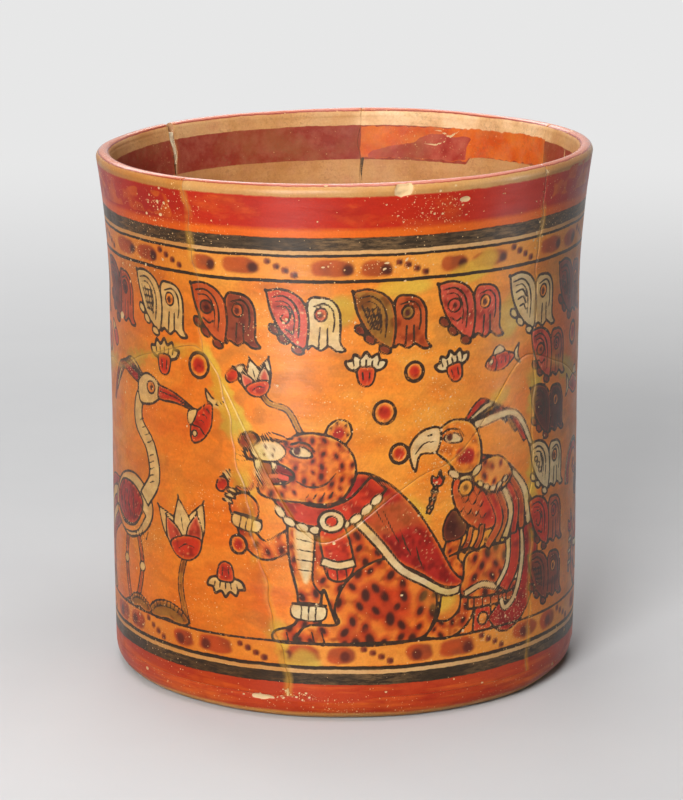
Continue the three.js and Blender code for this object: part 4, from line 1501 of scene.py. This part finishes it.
def slab_face(upwards, rim, rim_turn, first):
    """A flat face of the slab inside a rim of corners: its faces, levels, points and places on the map."""
    start = FOOT_RADIUS - 3 if upwards else FOOT_RADIUS - BASE_EDGE_RADIUS - 1.5
    turn = np.arange(FACE_COLUMNS) / FACE_COLUMNS * 2 * math.pi + np.zeros((FACE_ROWS, 1))
    radius = np.linspace(start, FACE_CORE, FACE_ROWS)[:, None] + 0 * turn
    if upwards:
        height = BASE_THICKNESS + 0.5 * (lattice(turn, radius, 40, 14, 131) - 0.5)
    else:
        height = 0.25 * smooth((60 - radius) / 40)
    centre = place_points(np.zeros(1), 0.0, np.array([np.mean(height[-1])]))
    points = np.concatenate([place_points(turn, radius, height).reshape(-1, 3), centre])
    rings = ring(first + np.arange(turn.size).reshape(turn.shape))
    around = np.append(turn[0], 2 * math.pi)
    if upwards:
        join = stitch(rim, rings[0], rim_turn, around)
    else:
        join = stitch(rings[0], rim, around, rim_turn)
    rows = grid_faces(rings if upwards else rings[::-1])
    cap = fan(rings[-1], first + turn.size, upwards)
    inwards = FOOT_RADIUS - np.append(radius, 0)
    level = FLOOR_LEVEL + inwards if upwards else -inwards
    x, y = (np.append(radius * along(turn), 0) / FOOT_RADIUS * 0.5 + 0.5 for along in (np.sin, np.cos))
    return [join, rows, cap], level, points, map_box(x, y, *(SLAB_FLOOR_BOX if upwards else SLAB_UNDER_BOX))


def base_slab():
    """The slab that the wall stands on: a flat underside, a rounded worn edge and a flat top."""
    turn, level, lost, points = slab_edge()
    numbers = ring(np.arange(turn.size).reshape(turn.shape))
    around = np.append(turn[0], 2 * math.pi)
    faces = [grid_faces(numbers)]
    levels = [level.ravel()]
    places = [points.reshape(-1, 3)]
    flat = [map_box(np.arange(SLAB_COLUMNS) / SLAB_COLUMNS, level / BASE_THICKNESS, *SLAB_SIDE_BOX)]
    for upwards, rim in ((False, numbers[0]), (True, numbers[-1])):
        found = slab_face(upwards, rim, around, sum(map(len, places)))
        for gathered, more in zip((levels, places, flat), found[1:]):
            gathered.append(more)
        faces += found[0]
    levels, places, flat = map(np.concatenate, (levels, places, flat))
    turns = np.arctan2(places[:, 0], -places[:, 1])
    clear = np.full(len(levels), OUTSIDE_MARK)
    fields = {
        "paint": linear(upper_buff(turns)),
        "ink": np.full(len(levels), FAR),
        "level": levels,
        "edge": np.full(len(levels), CLEAR_OF_BREAKS),
        "lost": np.append(lost, np.full(len(levels) - lost.size, -1.0)),
        "worn": np.clip(worn(turns, np.clip(levels, 0, BASE_THICKNESS)) + 0.25, 0, 1),
        "deep": np.zeros(len(levels)),
        "repaint": clear,
        "old_red": clear,
    }
    return build_mesh("painted_base_slab", places, [(found, SLIP, flat) for found in faces], fields)


# The plaster strip: rows up it, and corners across it and through it
PLASTER_ROWS = 60
PLASTER_ACROSS = 7
PLASTER_THROUGH = 10
PLASTER_BOX = (0.1, 0.9)
# It is never thinner than this on either side of its middle
PLASTER_LEAST_HALF = 0.1


def plaster_fill():
    """The strip of plaster in the gaping crack, lumpy and a little short of both faces of the wall."""
    top = LIP_CENTRE_HEIGHT - PLASTER_TOP_DROP
    foot = HEIGHT - PLASTER_DEPTH
    across = np.linspace(0, 1, PLASTER_ACROSS)
    through = np.linspace(0, 1, PLASTER_THROUGH)
    loop = [(u, 0.0) for u in across[:-1]] + [(1.0, w) for w in through[:-1]]
    loop += [(u, 1.0) for u in across[:0:-1]] + [(0.0, w) for w in through[:0:-1]]
    u, w = np.array(loop).T
    z = np.linspace(foot, top, PLASTER_ROWS)[:, None] + 0 * u
    half = break_half_width(OPEN_BREAK, z) - PLASTER_GAP
    lumps = (lattice(z / 9 + u * 0.7, z + 3 * w, 1.6, 1.3, 141) - 0.5) * 0.5
    outer = outer_radius(z) - PLASTER_RECESS + lumps
    inner = inner_radius(z) + PLASTER_RECESS - lumps
    radius = outer * (1 - w) + inner * w
    turn = break_turn(OPEN_BREAK, z) + (2 * u - 1) * np.maximum(half, PLASTER_LEAST_HALF) / BODY_RADIUS
    tips = z[[0, -1], 0] + np.array([-0.2, 0.3])
    ends = place_points(break_turn(OPEN_BREAK, z[[0, -1], 0]), radius[[0, -1]].mean(1), tips)
    numbers = ring(np.arange(z.size).reshape(z.shape))
    caps = np.concatenate([fan(numbers[0], z.size, False), fan(numbers[-1], z.size + 1, True)])
    flat = map_box(np.arange(len(loop)) / len(loop), (z - foot) / (top - foot), *PLASTER_BOX)
    flat = np.concatenate([flat, [[0.5, 0.02], [0.5, 0.98]]])
    points = np.concatenate([place_points(turn, radius, z).reshape(-1, 3), ends])
    return build_mesh("plaster_strip", points, [(grid_faces(numbers), SLIP, flat), (caps, SLIP, flat)], {})


class Nodes:
    """A node tree, with short ways to add and join its nodes."""

    def __init__(self, tree):
        self.tree = tree

    def add(self, kind, **settings):
        node = self.tree.nodes.new(kind)
        for key, value in settings.items():
            setattr(node, key, value)
        return node

    def feed(self, socket, value):
        if isinstance(value, bpy.types.NodeSocket):
            self.tree.links.new(value, socket)
        elif value is not None:
            socket.default_value = value

    def math(self, operation, *values, clamp=False):
        node = self.add("ShaderNodeMath", operation=operation, use_clamp=clamp)
        for socket, value in zip(node.inputs, values):
            self.feed(socket, value)
        return node.outputs[0]

    def plus(self, a, b):
        return self.math("ADD", a, b)

    def times(self, first, *others):
        for other in others:
            first = self.math("MULTIPLY", first, other)
        return first

    def rest(self, share):
        """What a share leaves of 1."""
        return self.math("SUBTRACT", 1.0, share)

    def larger(self, a, b):
        return self.math("MAXIMUM", a, b)

    def swing(self, noise, reach):
        """Noise that swings to both sides of 0 by up to half this reach."""
        return self.times(self.math("SUBTRACT", noise, 0.5), reach)

    def ramp(self, value, low, high, to_low=0.0, to_high=1.0, soft=False):
        node = self.add("ShaderNodeMapRange", clamp=True)
        node.interpolation_type = "SMOOTHSTEP" if soft else "LINEAR"
        for socket, given in zip(node.inputs[:5], (value, low, high, to_low, to_high)):
            self.feed(socket, given)
        return node.outputs[0]

    def seen_rays(self):
        """1 for the rays that show what stands behind the vase, straight or in a reflection."""
        path = self.add("ShaderNodeLightPath").outputs
        seen = self.larger(path["Is Camera Ray"], path["Is Glossy Ray"])
        return self.larger(seen, path["Is Transmission Ray"])


class Look(Nodes):
    """A material: its node tree, its shader and the place of each point."""

    def __init__(self, name):
        self.material = bpy.data.materials.new(name)
        self.material.use_nodes = True
        super().__init__(self.material.node_tree)
        self.tree.nodes.clear()
        self.shader = self.add("ShaderNodeBsdfPrincipled")
        output = self.add("ShaderNodeOutputMaterial")
        self.tree.links.new(self.shader.outputs["BSDF"], output.inputs["Surface"])
        self.place = self.add("ShaderNodeTexCoord").outputs["Object"]

    def give(self, name, value):
        """Feeds one of the shader's own sockets."""
        self.feed(self.shader.inputs[name], value)

    def texture(self, kind, size, stretch=(1, 1, 1), **settings):
        """A texture whose features are about this many millimetres across."""
        mapped = self.add("ShaderNodeMapping")
        mapped.inputs["Scale"].default_value = [METRE / size * s for s in stretch]
        self.feed(mapped.inputs["Vector"], self.place)
        node = self.add(kind, **settings)
        self.feed(node.inputs["Vector"], mapped.outputs[0])
        node.inputs["Scale"].default_value = 1
        return node

    def noise(self, size, detail=2.0, rough=0.5, stretch=(1, 1, 1)):
        node = self.texture("ShaderNodeTexNoise", size, stretch)
        node.inputs["Detail"].default_value = detail
        node.inputs["Roughness"].default_value = rough
        return node.outputs["Fac"]

    def cells(self, size):
        return self.texture("ShaderNodeTexVoronoi", size).outputs

    def field(self, name, colour=False):
        """What the mesh says at each point."""
        node = self.add("ShaderNodeAttribute", attribute_name=name)
        return node.outputs["Color" if colour else "Fac"]

    def blend(self, share, a, b, kind="MIX"):
        node = self.add("ShaderNodeMix", data_type="RGBA", blend_type=kind)
        self.feed(node.inputs["Factor"], share)
        colours = [socket for socket in node.inputs if socket.type == "RGBA"]
        for socket, value in zip(colours, (a, b)):
            self.feed(socket, value if isinstance(value, bpy.types.NodeSocket) else rgba(value))
        return next(socket for socket in node.outputs if socket.type == "RGBA")

    def bands(self, level, painted, stops):
        """Bands laid over each other, where the painted wall stands in for a colour of None."""
        colours = [painted if given is None else given for start, given, soft in stops]
        colour = colours[0]
        for (start, given, soft), over in zip(stops[1:], colours[1:]):
            colour = self.blend(self.ramp(level, start - soft, start + soft), colour, over)
        return colour

    def bump(self, height, depth, normal=None):
        node = self.add("ShaderNodeBump")
        node.inputs["Distance"].default_value = depth / METRE
        self.feed(node.inputs["Height"], height)
        self.feed(node.inputs["Normal"], normal)
        return node.outputs[0]


def rgba(colour):
    return (*linear(colour), 1.0)


# Colours of the clay and the bands
BARE_CLAY = (206, 158, 108)
BUFF = (214, 168, 114)
# Paler buff of the made-good stretch inside: partly painted light where the lamps fall on the far inside wall
LIT_AND_MADE_GOOD_BUFF = (246, 210, 164)
LOW_BUFF = (200, 150, 96)
LIP_RED = (150, 46, 34)
# Pale rose on top of the lip: partly the lip's own colour, partly painted sheen
LIP_SHEEN_ROSE = (222, 142, 122)
LIP_STRIP = (206, 158, 98)
BAND_RED = (192, 42, 16)
STRIPE_ORANGE = (232, 108, 26)
LINE_BLACK = (50, 36, 22)
BAND_BLACK = (50, 39, 26)
LINE_CREAM = (220, 174, 118)
LOW_RED = (192, 66, 30)
# Worn ochre of the foot, painted lighter to make up for the shade under its rounded edge
FOOT_WEAR_LIGHTENED = (236, 168, 84)
MAROON = (146, 50, 32)
# Colours of the repairs
OVERPAINT = (206, 82, 22)
OVERPAINT_PALE = (226, 118, 34)
OLD_MAROON = (160, 46, 32)
# Rose patches in the old maroon: painted sheen
OLD_ROSE_SHEEN = (194, 92, 70)
# What darkened sherds are multiplied by: painted shade, partly a deeper tone
SHERD_SHADE_TONE = (236, 212, 172)
GLUE = (214, 160, 60)
SEAM = (110, 66, 30)
PLASTER_PALE = (232, 216, 184)
PLASTER_BROWN = (198, 172, 130)
# Colours of the brush lines
LINE_DARK = (40, 26, 16)
LINE_BROWN = (74, 48, 28)
# What mottles, streaks and dirt multiply the slip by
MOTTLED = (250, 214, 150)
STREAKED = (222, 190, 178)
GRAINED = (186, 164, 140)
# What wear lays over the slip
THIN_RED = (222, 104, 34)
THICK_RED = (150, 24, 10)
FADED = (190, 120, 92)
DUSTY = (150, 104, 60)
SPECKLED = (126, 84, 50)
BLACK_HAZE = (158, 120, 78)
SPECK_PALE = (240, 204, 146)
SPECK_DARK = (214, 160, 98)
LOST_PALE = (226, 194, 146)
LOST_DARK = (200, 160, 112)
# Colours in the breaks
BREAK_BUFF = (196, 140, 92)
BREAK_GREY = (150, 112, 80)
BREAK_GRIT = (222, 200, 168)

# The lip's roundness passes into the inside here
INSIDE_START = LIP_START + 2.44 * LIP_RADIUS
# Bands from the underside up and down the inside: the level where each starts, its colour, and how
# softly. None stands for the painted wall, and for the clay of the inside, which comes from the mesh.
BANDS = [
    (-90, BARE_CLAY, 0), (0.3, FOOT_WEAR_LIGHTENED, 0.2), (2.6, LOW_RED, 0.5), (13.1, BAND_BLACK, 0.1),
    (17.05, LINE_CREAM, 0.08), (18.4, LINE_BLACK, 0.08), (19.7, None, 0.1),
    (148.4, LINE_BLACK, 0.08), (149.55, None, 0.08), (156.95, LINE_BLACK, 0.08), (157.9, LINE_CREAM, 0.08),
    (159.15, BAND_BLACK, 0.1), (163.55, STRIPE_ORANGE, 0.15), (166.3, BAND_RED, 0.8),
    # The pale rose on top of the lip, between its red lines, is partly painted sheen
    (177.2, LIP_STRIP, 0.3), (180.55, LIP_RED, 0.2), (180.95, LIP_SHEEN_ROSE, 0.25), (184.2, LIP_RED, 0.2),
    (INSIDE_START, None, 0.2), (LIP_END + 3.3, MAROON, 0.15), (LIP_END + 15.6, LOW_BUFF, 0.15),
]
# Sizes of the specks where slip has flaked off, the share of cells that have one, and how far it spreads
SPECKS = [(1.3, 0.3, 0.24), (0.8, 0.6, 0.3), (0.5, 0.5, 0.34)]


def painted_slip():
    """Burnished slip paint over clay: bands, the painted wall, brush lines, repairs, wear and gloss."""
    n = Look("painted_slip")
    level = n.field("level")
    quick = n.noise(2.2, 2)
    grain = n.noise(0.7, 3, 0.6)
    line_level = n.plus(level, n.plus(n.swing(n.noise(30, 2), 1.4), n.swing(quick, 0.5)))
    inside = n.ramp(level, INSIDE_START - 0.2, INSIDE_START + 0.2)
    outside = n.rest(inside)
    blotch = n.noise(16, 4, 0.6)
    reds = red_bands(n, line_level)
    colour = n.bands(line_level, n.field("paint", True), BANDS)
    colour = repairs(n, colour, quick)
    colour = mottle(n, colour, blotch, grain)
    colour = uneven_red(n, colour, *reds, outside)
    colour = inner_dirt(n, colour, blotch, inside)
    colour = hazy_black(n, colour, line_level)
    # Painted shade: chosen sherds are darkened on the outside, partly as their deeper tone
    colour = n.blend(n.times(n.field("deep"), outside), colour, SHERD_SHADE_TONE, "MULTIPLY")
    colour = brush_lines(n, colour, quick)
    colour, specks = losses(n, colour, quick, grain, inside)
    n.give("Base Color", joins(n, colour, quick, inside))

    rough = n.plus(n.ramp(n.noise(7, 4, 0.6), 0.3, 0.7, 0.3, 0.44), n.times(inside, 0.22))
    on_lip = n.times(n.ramp(level, 179.6, 180.8), n.ramp(level, INSIDE_START, INSIDE_START - 0.6))
    rough = n.math("SUBTRACT", rough, n.times(on_lip, 0.16))
    n.give("Roughness", n.math("ADD", rough, n.times(specks, 0.3), clamp=True))
    n.give("IOR", 1.3)
    burnished = n.bump(n.noise(5.5, 3, 0.6, (0.4, 0.4, 2.0)), 0.07)
    n.give("Normal", n.bump(n.math("SUBTRACT", grain, n.times(specks, 0.9)), 0.035, burnished))
    return n.material


def repairs(n, colour, quick):
    """Overpaint on the inside of the rim, and the old maroon that shows through it, mottled with rose that is
    painted sheen.
    """
    repaint = n.ramp(n.plus(n.field("repaint"), n.times(quick, 0.6)), 0.2, 0.6)
    fresh = n.blend(n.ramp(n.noise(8, 3), 0.35, 0.65), OVERPAINT, OVERPAINT_PALE)
    colour = n.blend(repaint, colour, fresh)
    old_red = n.ramp(n.plus(n.field("old_red"), n.times(quick, 0.5)), 0.15, 0.4)
    return n.blend(old_red, colour, n.blend(n.ramp(n.noise(9, 3), 0.4, 0.65), OLD_MAROON, OLD_ROSE_SHEEN))


def red_bands(n, line_level):
    """Where the upper and the lower band of red lie."""
    upper = n.times(n.ramp(line_level, 166.1, 167.3), n.ramp(line_level, 177.0, 176.2))
    lower = n.times(n.ramp(line_level, 2.4, 3.6), n.ramp(line_level, 13.1, 12.3))
    return upper, lower


def mottle(n, colour, blotch, grain):
    """Mottles, brush streaks and fine dirt all over."""
    streak = n.noise(9, 3, 0.6, (0.3, 0.3, 2.4))
    colour = n.blend(n.ramp(blotch, 0.38, 0.7, 0.0, 0.6), colour, MOTTLED, "MULTIPLY")
    colour = n.blend(n.ramp(streak, 0.42, 0.75, 0.0, 0.45), colour, STREAKED, "MULTIPLY")
    return n.blend(n.ramp(grain, 0.3, 0.75, 0.3, 0.0), colour, GRAINED, "MULTIPLY")


def uneven_red(n, colour, upper, lower, outside):
    """Orange where the red bands are thin, and a deeper red where they lie thick."""
    patches = n.ramp(n.noise(13, 5, 0.65, (0.5, 0.5, 1.2)), 0.52, 0.74, 0.0, 0.6)
    brushed = n.ramp(n.noise(8, 4, 0.6, (0.22, 0.22, 2.2)), 0.5, 0.68, 0.0, 0.8)
    thin = n.times(n.larger(n.times(upper, patches), n.times(lower, brushed)), outside)
    colour = n.blend(thin, colour, THIN_RED)
    reds = n.times(n.larger(upper, lower), outside)
    thick = n.times(reds, n.ramp(n.noise(10, 4, 0.6, (0.5, 0.5, 1.0)), 0.52, 0.7, 0.0, 0.7))
    return n.blend(thick, colour, THICK_RED)


def inner_dirt(n, colour, blotch, inside):
    """Fading, dust and dark speckles on the inside."""
    faded = n.ramp(n.noise(5, 5, 0.65), 0.45, 0.75, 0.0, 0.3)
    colour = n.blend(n.times(inside, faded), colour, FADED)
    colour = n.blend(n.times(inside, n.ramp(blotch, 0.5, 0.7, 0.0, 0.35)), colour, DUSTY)
    speckled = n.times(n.ramp(n.noise(1.3, 5, 0.8), 0.5, 0.66), n.ramp(n.noise(18, 3), 0.42, 0.62, 0.1, 0.5))
    return n.blend(n.times(inside, speckled), colour, SPECKLED)


def hazy_black(n, colour, line_level):
    """A rubbed grey haze on the black bands."""
    grey = n.add("ShaderNodeRGBToBW")
    n.feed(grey.inputs[0], colour)
    dark = n.ramp(grey.outputs[0], 0.03, 0.07, 1.0, 0.0)
    bands_only = n.larger(n.ramp(line_level, 19.0, 18.5), n.ramp(line_level, 158.8, 159.2))
    rubbed = n.ramp(n.noise(1.8, 6, 0.75, (0.35, 0.35, 1.8)), 0.42, 0.66)
    flecks = n.times(rubbed, n.ramp(n.noise(12, 4, 0.6, (0.5, 0.5, 1.0)), 0.38, 0.62, 0.1, 0.65))
    return n.blend(n.times(dark, bands_only, flecks), colour, BLACK_HAZE)


def brush_lines(n, colour, quick):
    """The painter's dark lines, from their distance on the mesh, with dry and paler stretches."""
    line = n.plus(n.field("ink"), n.swing(n.noise(1.1, 2), 0.34))
    brushed = n.ramp(line, -0.07, 0.07, 1.0, 0.0)
    dry = n.ramp(n.noise(2.4, 4, 0.7), 0.3, 0.42, 0.5, 1.0)
    return n.blend(n.times(brushed, dry), colour, n.blend(n.ramp(quick, 0.3, 0.8), LINE_DARK, LINE_BROWN))


def losses(n, colour, quick, grain, inside):
    """Specks where the slip has flaked off, and the larger losses that the mesh is carved with."""
    likely = n.math("POWER", n.field("worn"), 1.8)
    specks = None
    for size, share, reach in SPECKS:
        cells = n.cells(size)
        pick = n.add("ShaderNodeSeparateColor")
        n.feed(pick.inputs[0], cells["Color"])
        chosen = n.math("LESS_THAN", pick.outputs[0], n.times(likely, share))
        limit = n.plus(n.times(pick.outputs[1], reach), 0.08)
        near = n.math("LESS_THAN", n.plus(cells["Distance"], n.times(grain, 0.12)), limit)
        speck = n.times(chosen, near)
        specks = speck if specks is None else n.larger(specks, speck)
    specks = n.times(specks, n.rest(n.times(inside, 0.6)))
    colour = n.blend(n.times(specks, 0.8), colour, n.blend(grain, SPECK_PALE, SPECK_DARK))
    lost = n.ramp(n.plus(n.field("lost"), n.swing(quick, 0.3)), 0.0, 0.08)
    colour = n.blend(lost, colour, n.blend(quick, LOST_PALE, LOST_DARK))
    return colour, n.larger(specks, lost)


def joins(n, colour, quick, inside):
    """Yellowed glue beside the joins, and the dark hairline of the joins themselves."""
    edge = n.field("edge")
    beside = n.ramp(n.plus(edge, n.swing(quick, 1.6)), 0.5, 1.9, 0.4, 0.0)
    glue = n.times(beside, n.ramp(n.noise(9, 3), 0.42, 0.62))
    colour = n.blend(n.times(glue, n.rest(n.times(inside, 0.75))), colour, GLUE)
    seam = n.times(n.ramp(edge, 0.04, 0.2, 0.4, 0.0), n.ramp(n.noise(6, 2), 0.35, 0.6))
    return n.blend(seam, colour, SEAM)


def clay_break():
    """Fired clay in a break: buff with a greyer heart and pale grit."""
    n = Look("clay_break")
    colour = n.blend(n.noise(4, 4, 0.6), BREAK_BUFF, BREAK_GREY)
    grit = n.ramp(n.cells(0.9)["Distance"], 0.12, 0.2, 0.8, 0.0)
    n.give("Base Color", n.blend(grit, colour, BREAK_GRIT))
    n.give("Roughness", 0.88)
    n.give("Normal", n.bump(n.noise(1.2, 4, 0.7), 0.3))
    return n.material


def plaster_look():
    """Pale mending plaster, dusty and toned a little brown."""
    n = Look("mending_plaster")
    n.give("Base Color", n.blend(n.ramp(n.noise(3, 4, 0.6), 0.35, 0.7), PLASTER_PALE, PLASTER_BROWN))
    n.give("Roughness", 0.92)
    n.give("Normal", n.bump(n.noise(0.8, 4, 0.7), 0.2))
    return n.material


# The vase
slip_look = painted_slip()
clay_look = clay_break()
for breaks, names, upper in ((UPPER_BREAKS, UPPER_NAMES, True), (LOWER_BREAKS, LOWER_NAMES, False)):
    for k, node in enumerate(names):
        piece = Sherd("painted_" + node, breaks, k, upper).build()
        piece.data.materials.append(slip_look)
        piece.data.materials.append(clay_look)
        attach(piece, "root")
        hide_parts(node)

slab = base_slab()
slab.data.materials.append(slip_look)
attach(slab, "root")
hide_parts("base_slab")

strip = plaster_fill()
strip.data.materials.append(plaster_look())
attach(strip, "root")
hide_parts("plaster_crack_fill")


# The stage: a round pale floor that fades into the room around it, in metres
FLOOR_RADIUS = 4.0
FLOOR_SIDES = 96
FADE_FROM = 0.3
FADE_TO = 1.1
FLOOR_GREY = (206, 206, 206)
FLOOR_SHADE = (200, 200, 201)
BLACK = (0, 0, 0)
# The floor throws back only this much light onto the vase, as a dark studio would
BOUNCE_GREY = (120, 120, 120)
WHITE_LIGHT = (1, 1, 1, 1)
ROOM_LIGHT = 0.05
ROOM_LOOK = 0.8


def floor_look():
    """Pale grey, which glows as the room does where it is far from the vase."""
    n = Look("floor")
    seen = n.seen_rays()
    reach = n.add("ShaderNodeVectorMath", operation="LENGTH")
    n.feed(reach.inputs[0], n.place)
    far = n.ramp(reach.outputs["Value"], FADE_FROM, FADE_TO, soft=True)
    pale = n.blend(n.noise(60, 3), FLOOR_GREY, FLOOR_SHADE)
    n.give("Base Color", n.blend(seen, BOUNCE_GREY, n.blend(far, pale, BLACK)))
    n.give("Roughness", 0.7)
    n.give("Specular IOR Level", 0)
    n.give("Emission Color", WHITE_LIGHT)
    n.give("Emission Strength", n.times(seen, far, ROOM_LOOK))
    return n.material


def floor():
    angles = np.arange(FLOOR_SIDES) / FLOOR_SIDES * 2 * math.pi
    rim = [(FLOOR_RADIUS * math.cos(a), FLOOR_RADIUS * math.sin(a), 0) for a in angles]
    mesh = bpy.data.meshes.new("floor")
    mesh.from_pydata(rim, [], [range(len(rim))])
    mesh.materials.append(floor_look())
    disc = bpy.data.objects.new("floor", mesh)
    bpy.context.scene.collection.objects.link(disc)


def room():
    """A dim room whose far walls look pale to the camera and in reflections."""
    world = bpy.data.worlds.new("room")
    bpy.context.scene.world = world
    world.use_nodes = True
    n = Nodes(world.node_tree)
    background = n.tree.nodes["Background"].inputs
    n.feed(background["Color"], WHITE_LIGHT)
    n.feed(background["Strength"], n.ramp(n.seen_rays(), 0.0, 1.0, ROOM_LIGHT, ROOM_LOOK))


# The lamps, in metres and watts: each one's place, what it is aimed at, its size and its power
MIDDLE = (0, 0, 0.09)
LOW_MIDDLE = (0, 0, 0.13)
LAMPS = {
    "key": ((-0.36, -1.20, 0.62), MIDDLE, (0.5, 0.5), 20.4),
    "strip": ((-0.56, -1.20, 0.30), MIDDLE, (0.10, 0.8), 10),
    "side": ((1.15, -0.24, 0.30), MIDDLE, (0.14, 0.7), 4.0),
    "low_strip": ((-0.20, -0.47, 0.13), LOW_MIDDLE, (0.07, 0.24), 1.5),
    "low_side": ((0.46, -0.10, 0.13), LOW_MIDDLE, (0.07, 0.24), 0.45),
    "top": ((0.0, -0.1, 1.5), MIDDLE, (1.0, 1.0), 11.5),
    "back": ((-0.30, 1.05, 0.85), MIDDLE, (0.9, 0.4), 6),
}
# Lamps that only show as a sheen on the polished slip
SHEEN_LAMPS = ("strip", "side", "low_strip", "low_side")


def lamp(name, place, aim, size, power):
    """An oblong lamp that the camera doesn't see."""
    light = bpy.data.lights.new(name, "AREA")
    light.shape = "RECTANGLE"
    light.size, light.size_y = size
    light.energy = power
    holder = bpy.data.objects.new(name, light)
    holder.location = place
    holder.visible_diffuse = name not in SHEEN_LAMPS
    holder.visible_camera = False
    direction = mathutils.Vector(aim) - mathutils.Vector(place)
    holder.rotation_euler = direction.to_track_quat("-Z", "Y").to_euler()
    bpy.context.scene.collection.objects.link(holder)


floor()
room()
for name, settings in LAMPS.items():
    lamp(name, *settings)

# The camera, placed so that the vase stands in the frame as in the photograph
PICTURE_HEIGHT_PX = 800
FOCAL_PX = 3300
SENSOR = 36
CAMERA_AT = (-0.95 / METRE, -1118.0 / METRE, 357.6 / METRE)
CAMERA_DOWN = 13.43
camera_data = bpy.data.cameras.new("camera")
camera_data.sensor_width = SENSOR
camera_data.lens = FOCAL_PX / PICTURE_HEIGHT_PX * SENSOR
camera = bpy.data.objects.new("camera", camera_data)
camera.location = CAMERA_AT
camera.rotation_euler = (math.radians(90 - CAMERA_DOWN), 0, 0)
bpy.context.scene.collection.objects.link(camera)
bpy.context.scene.camera = camera
bpy.context.scene.view_settings.view_transform = "Standard"
